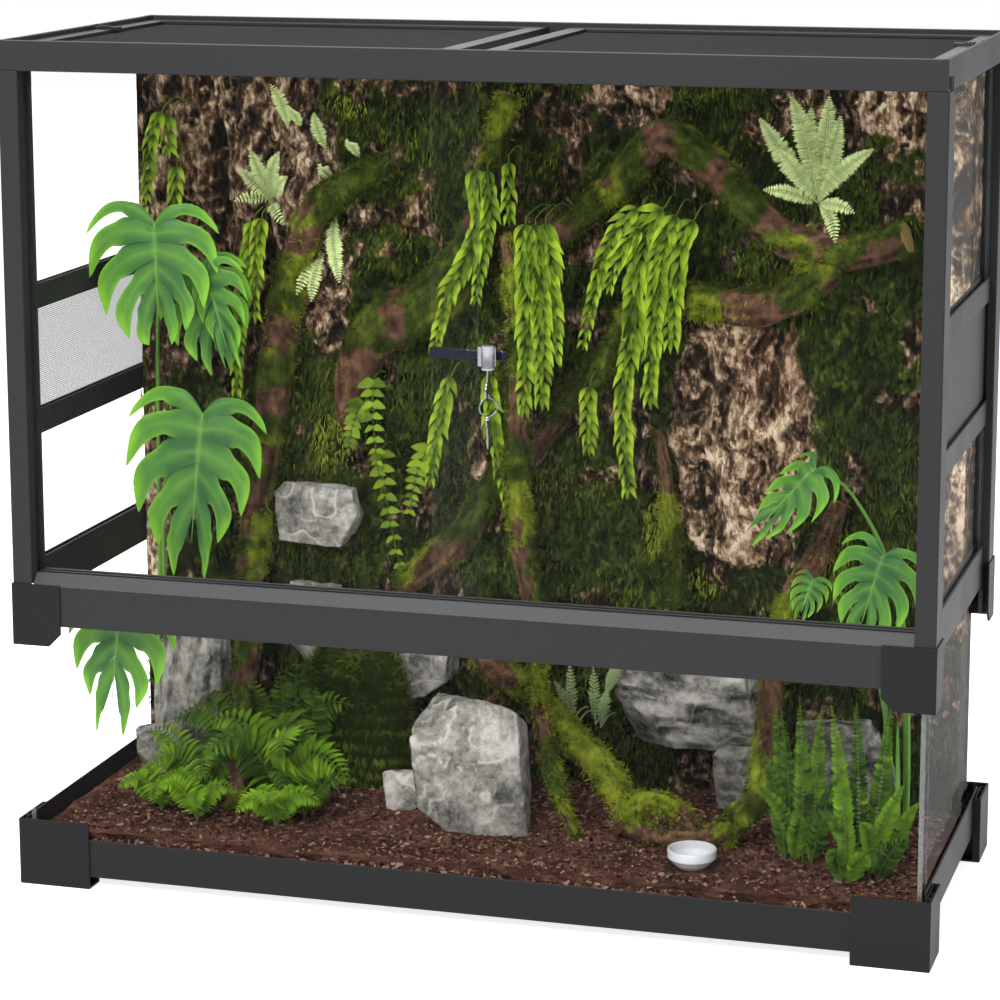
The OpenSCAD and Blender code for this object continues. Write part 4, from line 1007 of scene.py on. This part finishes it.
CHAINS = [  # x and z along each string, from the top
    [(-420, 829), (-434, 790), (-444, 744), (-448, 710)], [(-413, 826), (-414, 779)],
    [(-407, 768), (-408, 714)],
    [(-316, 709), (-325, 647), (-333, 589), (-340, 507)], [(-306, 713), (-312, 658), (-317, 596)],
    [(-58, 775), (-54, 715), (-65, 671), (-86, 634), (-102, 572)], [(-86, 542), (-100, 476), (-110, 419)],
    [(-44, 774), (-40, 720), (-51, 669), (-56, 624)], [(-19, 785), (-16, 717)],
    [(10, 722), (13, 643), (12, 590), (7, 512)], [(32, 724), (39, 650), (44, 570)],
    [(-40, 549), (-36, 480), (-22, 395)], [(131, 736), (104, 710), (84, 663), (67, 580)],
    [(131, 715), (111, 686), (94, 644)], [(74, 541), (73, 465)],
    [(157, 737), (136, 711), (126, 660), (121, 596), (112, 521), (119, 421)],
    [(171, 732), (154, 688), (147, 633), (141, 523)], [(190, 727), (174, 689), (166, 634), (164, 585)],
    [(21, 722), (27, 650), (30, 590), (28, 524)],
]
WIDE = (5, 9, 10, 15, 16, 17, 18)
FRONT = (9, 10, 18)  # these hang in front of the upright branch
HANG_Y, FRONT_Y = 58, 24
trailing = Batch("tone", "vein")
for k, line in enumerate(CHAINS):
    chain(trailing, line, FRONT_Y if k in FRONT else HANG_Y, 27 if k in WIDE else 21, 400 + k)
g = rng(450)
wedge, wedge_faces = lance(5, 0.22, 0.25, 0.15, 0.6)
for x0, z0, x1, z1 in ((-184, 528, -172, 420), (-176, 446, -148, 316), (-196, 500, -206, 452),
                       (-120, 452, -136, 380)):
    path = curve(bow((x0, 82, z0), (x1, 60, z1), 4, (0, -12, 0)), 5)
    spot, run, _ = at(path, np.linspace(0.04, 0.97, 9))
    side = unit(np.cross(run, [0, -1.0, 0]))
    for s in (-1, 1):
        size = np.linspace(19, 9, 9) * g.uniform(0.85, 1.1, 9)
        way = run * 0.45 + s * side + g.normal(0, 0.12, (9, 3)) + np.array([0, -0.2, 0])
        axes = leaf_axes(way, np.array([0, -1.0, 0.5]) + g.normal(0, 0.25, (9, 3)), size, size * 0.62)
        stamp(trailing, wedge, wedge_faces, spot, axes, tone=g.uniform(0.15, 0.65, 9))
    tube(trailing, path, 0.7, 5, tone=0.15)
    rooted(trailing, path[0])
chain_leaf = foliage("chain_leaf", (0.014, 0.038, 0.003), (0.25, 0.385, 0.018), (0.24, 0.34, 0.04),
                     0.5, 0.1)
trailing.build("trailing_plants", chain_leaf, "frame", "trailing_leaf", "trailing_plants")


def monstera(batch, junction, tip, half_left, half_right, face, seed, curl=0.16, fingers=5):
    """A split leaf hanging from its junction; the halves are how far it reaches to each side."""
    g = rng(seed)
    junction, tip = np.asarray(junction, float), np.asarray(tip, float)
    down = tip - junction
    length = np.linalg.norm(down)
    down = down / length
    face = unit(np.asarray(face, float) - down * np.dot(face, down))
    side = np.cross(face, down)
    rows, cols = 19, 9
    for s, half in ((-1, half_left), (1, half_right)):
        for k in range(fingers):
            edge0, edge1 = k / fingers, (k + 1) / fingers
            gap_at = g.uniform(0.34, 0.5) if k < fingers - 1 else 0.62
            cut = g.uniform(0.27, 0.38)
            t = np.linspace(0, 1, rows)[:, None]
            c = np.linspace(-1, 1, cols)[None, :]
            narrow = 1 - cut * smooth(gap_at - 0.06, gap_at + 0.1, t) * (1 - 0.4 * smooth(0.6, 0.9, t))
            tip_round = np.sqrt(np.clip(1 - smooth(0.84, 1.06, t) ** 2, 0.0, 1))
            a = (edge0 + edge1) / 2 + (edge1 - edge0) / 2 * c * narrow * (0.5 + 0.5 * tip_round)
            start = np.clip(a * 1.05 - 0.12, 0, 1) ** 1.15 * 0.62
            theta = np.radians(152 - 140 * a ** 0.92)
            reach = half * (0.86 + 0.34 * np.sin(np.pi * np.clip(a, 0, 1) * 0.9 + 0.25))
            reach = reach * (1 - smooth(0.8, 1.0, a)) + (1 - start) * length * 0.98 * smooth(0.8, 1.0, a)
            reach = reach * (1.0 + 0.035 * c * smooth(0.5, 1.0, t))
            bend_in = theta - 0.86 * t ** 1.6 * np.clip(1 - a, 0, 1) ** 0.7
            r = reach * t
            u = start * length + r * np.cos(bend_in)
            w = r * np.sin(bend_in)
            out = (0.10 * w - curl * w ** 2 / max(half, 1) - 0.10 * u ** 2 / length
                   + 2.2 * np.cos(c * np.pi / 2) * np.sin(np.pi * t) + 2.5 * np.sin(5 * t + k))
            points = junction + u[..., None] * down + s * w[..., None] * side + out[..., None] * face
            rim = np.maximum(np.abs(c) ** 3 * smooth(gap_at - 0.1, gap_at + 0.1, t), smooth(0.72, 1.0, t))
            rib = np.exp(-(c / 0.1) ** 2) * (1 - 0.6 * t)
            main = np.exp(-(w / 2.2) ** 2)
            tone = 0.12 + 0.62 * rim + 0.2 * t ** 2 + g.normal(0, 0.05) + 0.1 * np.cos(c * np.pi)
            batch.add(points, grid_faces(rows, cols)[:, ::-s], tone=np.clip(tone + 0 * c, 0, 1).ravel(),
                      vein=np.clip(0.22 * rib + 0.4 * main, 0, 0.6).ravel())
    q = np.linspace(0, 0.76, 12)[:, None]
    mid = junction + down * length * q + face * (-0.10 * (q * length) ** 2 / length + 0.9)
    tube(batch, mid, np.linspace(1.4, 0.4, 12), 6, tone=0.6, vein=0.5)


broad = Batch("tone", "vein")
MONSTERA = [  # junction, tip, left half, right half, which way it faces, seed
    ((-403, -20, 708), (-400, -28, 571), 74, 64, (0.1, -1, 0.35), 1),
    ((-368, 20, 650), (-343, 20, 532), 50, 48, (0.35, -1, 0.3), 2),
    ((-350, 0, 654), (-327, 0, 539), 30, 42, (-0.4, -1, 0.2), 3),
    ((-353, -15, 495), (-370, -35, 307), 78, 66, (0.15, -1, 0.3), 4),
    ((-412, -118, 310), (-424, -140, 150), 52, 60, (0.2, -1, 0.3), 5),
    ((335, 0, 468), (262, -22, 394), 34, 44, (-0.35, -0.75, 0.8), 6),
    ((415, -30, 387), (385, -36, 291), 46, 48, (-0.15, -1, 0.35), 7),
    ((338, -15, 352), (322, -22, 306), 20, 20, (-0.1, -1, 0.4), 8),
]
for m in MONSTERA:
    monstera(broad, *m)
STALKS = [
    [(-446, 84, 62), (-450, 86, 200), (-450, 88, 400), (-446, 84, 560), (-424, 40, 660), (-403, -20, 708)],
    [(-372, 110, 566), (-371, 80, 610), (-368, 20, 650)],
    [(-356, 110, 572), (-353, 70, 622), (-350, 0, 654)],
    [(-440, 86, 62), (-446, 88, 250), (-440, 80, 380), (-405, 40, 455), (-353, -15, 495)],
    [(-440, 84, 62), (-444, 70, 200), (-436, 10, 284), (-424, -60, 311), (-412, -118, 310)],
    [(437, 12, 62), (436, 4, 200), (418, 14, 350), (372, 16, 440), (335, 0, 468)],
    [(442, -14, 62), (444, -24, 180), (438, -24, 300), (426, -22, 370), (415, -30, 387)],
    [(424, -8, 62), (424, -14, 160), (400, 0, 270), (362, 2, 338), (338, -15, 352)],
]
for s in STALKS:
    path = curve(s, 9)
    tube(broad, path, np.linspace(3.2, 1.6, len(path)), 8, tone=0.45, vein=0.1)
# strap leaves in the right corner
g = rng(460)
strap, strap_faces = lance(7, 0.4, 0.008, 0.06, 0.6)
for k in range(5):
    foot = np.array([440 + g.uniform(-8, 8), -60 + g.uniform(-14, 14), 63.0])
    way = np.array([g.normal(-0.05, 0.06), g.normal(0, 0.08), 1.0])
    face = np.array([[g.normal(0, 0.2), -1.0, 0.1]])
    axes = leaf_axes(way[None], face, g.uniform(140, 190), g.uniform(5, 8))
    stamp(broad, strap, strap_faces, foot[None], axes,
          tone=np.array([g.uniform(0.0, 0.3)]), vein=np.array([g.uniform(0.15, 0.4)]))
broad_leaf = foliage("broad_leaf", (0.024, 0.088, 0.024), (0.15, 0.37, 0.022), (0.16, 0.31, 0.07),
                     0.42, 0.16, 120.0)
broad.build("broadleaf_plants", broad_leaf, "frame", "broadleaf", "broadleaf_plants")

ferns = Batch("tone", "vein")
FEATHER = [  # place, size, fronds, tone
    (-374, -108, 58, 5, 0.7), (-345, -62, 82, 5, 0.35), (-232, -126, 58, 5, 0.85), (-270, 4, 112, 6, 0.15),
    (-322, -132, 54, 5, 0.85), (-292, -8, 118, 6, 0.18), (-246, -66, 112, 6, 0.5), (-212, -90, 56, 4, 0.45),
]
seed = 500
for x, y, size, count, shade in FEATHER:
    g = rng(seed)
    for k in range(count):
        seed += 1
        turn = 2 * math.pi * (k + g.uniform(-0.3, 0.3)) / count
        far = size * g.uniform(0.7, 1.1)
        tall = size * g.uniform(0.5, 1.25)
        end = np.array([x + far * math.cos(turn), y + far * math.sin(turn) * 0.75, SOIL_Z + tall * 0.75])
        end[0] = min(max(end[0], -468), 468)
        end[1] = max(end[1], -168)
        frond(ferns, bow((x, y, SOIL_Z), end, size * 0.42), 19, size * 0.3, 0.24, 68, (0, -0.7, 1.0),
              shade + g.uniform(-0.24, 0.2), 0.14, seed)
for k, (x, z, lean) in enumerate(((-247, 222, 8), (-268, 205, -12), (-224, 190, 20), (-300, 196, -16))):
    frond(ferns, bow((x - lean, 0, 70), (x, -14, z), 3), 22, 25, 0.27, 72, TO_FRONT,
          0.12 + 0.06 * k, 0.1, 560 + k)
SWORD = [  # foot x and y, tip x, y and z
    (331, -80, 323, -100, 225), (345, -88, 342, -104, 248), (352, -84, 364, -96, 238),
    (401, -132, 380, -128, 249), (408, -110, 404, -118, 251), (418, -90, 439, -104, 254),
    (340, -80, 300, -112, 150), (420, -110, 456, -122, 168), (355, -92, 388, -132, 172),
    (410, -118, 372, -146, 140), (336, -84, 352, -140, 130), (424, -100, 416, -150, 132),
    (430, -120, 466, -142, 112), (396, -138, 384, -166, 96), (436, -104, 470, -108, 146),
    (404, -136, 430, -166, 92), (326, -84, 306, -110, 190), (322, -76, 312, -80, 232),
]
for k, (x, y, *end) in enumerate(SWORD):
    frond(ferns, bow((x, y, SOIL_Z), end, 14, (0, 6, 0)), 38, 12.0, 0.56, 72, (0.15, -1.0, 0.25),
          0.14 + 0.12 * (k % 4), 0.06, 600 + k, 0.3)
fern_leaf = foliage("fern_leaf", (0.006, 0.02, 0.002), (0.15, 0.3, 0.01), (0.18, 0.28, 0.05), 0.5, 0.08)
ferns.build("ferns", fern_leaf, "frame", "fern", "ferns")

pale = Batch("tone", "vein")
PALE = {  # root x and z: the tips of its fronds
    (313, 736): [(254, 831), (291, 857), (309, 843), (330, 857), (342, 836), (378, 802), (258, 754),
                 (360, 734), (339, 701), (276, 800)],
    (-315, 717): [(-346, 722), (-323, 782), (-290, 780), (-281, 752), (-284, 699), (-340, 760)],
    (-295, 801): [(-295, 856)], (-278, 803): [(-274, 830)], (-248, 778): [(-244, 826)],
    (-209, 771): [(-206, 796)], (-240, 744): [(-242, 766)], (-238, 708): [(-221, 635)],
    (-266, 661): [(-271, 620)], (-251, 662): [(-256, 612)],
}
seeds = iter(range(700, 740))
for (x, z), tips in PALE.items():
    for tip_x, tip_z in tips:
        seed = next(seeds)
        g = rng(seed)
        reach = math.hypot(tip_x - x, tip_z - z)
        root = (x, float(bark_front(x)) + 2, z)
        stem = bow(root, (tip_x, 82 - g.uniform(0, 26), tip_z), 6, (g.uniform(-6, 6), -8, 0))
        frond(pale, stem, max(12, int(reach / 2.6)), 6.5 + reach * 0.055, 0.3, 74, TO_FRONT, 0.7, 0.06,
              seed, 0.52)
LOW_PALE = [(55, 154, 57, 226), (82, 153, 84, 224), (94, 188, 114, 231), (31, 68, 28, 118),
            (60, 150, 40, 205), (88, 150, 100, 200)]
for k, (x, z, tip_x, tip_z) in enumerate(LOW_PALE):
    frond(pale, bow((x, 52, z), (tip_x, 34, tip_z), 4), 16, 9, 0.3, 55, (0, -1.0, 0.3), 0.0, 0.1, 740 + k)
    rooted(pale, (x, 52, z))
pale_leaf = foliage("pale_leaf", (0.18, 0.26, 0.11), (0.58, 0.68, 0.28), (0.52, 0.6, 0.28), 0.5, 0.1)
pale.build("pale_ferns", pale_leaf, "frame", "fern", "ferns")


# Wire cloth of the lids and the vents

def cloth(name, node, body, slot, material, axes, pitch, wire):
    """Crossed wires in a node's box; axes are the two in its plane and the one through it."""
    low, high = [np.array(v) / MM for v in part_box(node)]
    a, b, c = axes
    middle = (low[c] + high[c]) / 2
    batch = Batch()
    for along, across, offset in ((a, b, 0.32 * wire), (b, a, -0.32 * wire)):
        count = int((high[across] - low[across] - wire) / pitch)
        places = np.linspace(low[across] + wire, high[across] - wire, count)
        base = []
        for end in (low[along] + 0.2, high[along] - 0.2):
            for k in range(5):
                q = [0.0, 0.0, 0.0]
                q[along] = end
                q[across] = wire / 2 * math.cos(2 * math.pi * k / 5)
                q[c] = wire / 2 * math.sin(2 * math.pi * k / 5)
                base.append(q)
        move = np.zeros((count, 3))
        move[:, across] = places
        move[:, c] = middle + offset
        stamp(batch, np.array(base), grid_faces(2, 5, True), move, np.tile(np.eye(3), (count, 1, 1)))
    batch.build(name, material, body, slot, node)


for side in ("left", "right"):
    cloth(f"lid_cloth_{side}", f"lid_mesh_{side}", f"lid_{side}", "lid_mesh", wire_paint,
          (0, 1, 2), 2.6, 0.75)
    cloth(f"vent_cloth_{side}", f"vent_mesh_{side}", "frame", "vent_mesh", vent_wire,
          (1, 2, 0), 2.1, 0.48)


# Stage and light

floor_mesh = bpy.data.meshes.new("floor")
corners = [(x, y, -0.0005) for x, y in ((-9, -9), (9, -9), (9, 9), (-9, 9))]
floor_mesh.from_pydata(corners, [], [(0, 1, 2, 3)])
floor = bpy.data.objects.new("floor", floor_mesh)
scene.collection.objects.link(floor)
look = Look("white_floor", (0.82, 0.82, 0.82), 0.9)
look.set("Specular IOR Level", 0.0)
look.set("Emission Color", (1.0, 1.0, 1.0))
look.set("Emission Strength", 0.8)
floor_mesh.materials.append(look.material)

world = bpy.data.worlds.new("white_room")
scene.world = world
world.use_nodes = True
tree = world.node_tree
sky = tree.nodes["Background"]
paths = tree.nodes.new("ShaderNodeLightPath")
seen = paths.outputs["Is Camera Ray"]
for ray in ("Is Glossy Ray", "Is Transmission Ray"):
    either = tree.nodes.new("ShaderNodeMath")
    either.operation = "MAXIMUM"
    tree.links.new(seen, either.inputs[0])
    tree.links.new(paths.outputs[ray], either.inputs[1])
    seen = either.outputs[0]
power = tree.nodes.new("ShaderNodeMapRange")
power.inputs["To Min"].default_value = 0.56
power.inputs["To Max"].default_value = 1.0
tree.links.new(seen, power.inputs["Value"])
tree.links.new(power.outputs["Result"], sky.inputs["Strength"])
sky.inputs["Color"].default_value = (1.0, 1.0, 1.0, 1.0)


def lamp(name, place, target, size, power):
    data = bpy.data.lights.new(name, "AREA")
    data.shape = "RECTANGLE"
    data.size, data.size_y = size
    data.energy = power
    thing = bpy.data.objects.new(name, data)
    scene.collection.objects.link(thing)
    thing.location = place
    thing.rotation_euler = (Vector(target) - Vector(place)).to_track_quat("-Z", "Y").to_euler()


lamp("key", (-0.2, -3.1, 2.3), (0.0, 0.0, 0.45), (1.5, 1.1), 101.0)
lamp("top", (-0.3, -0.5, 2.6), (0.0, 0.1, 0.4), (1.8, 1.0), 62.0)

bpy.context.view_layer.update()
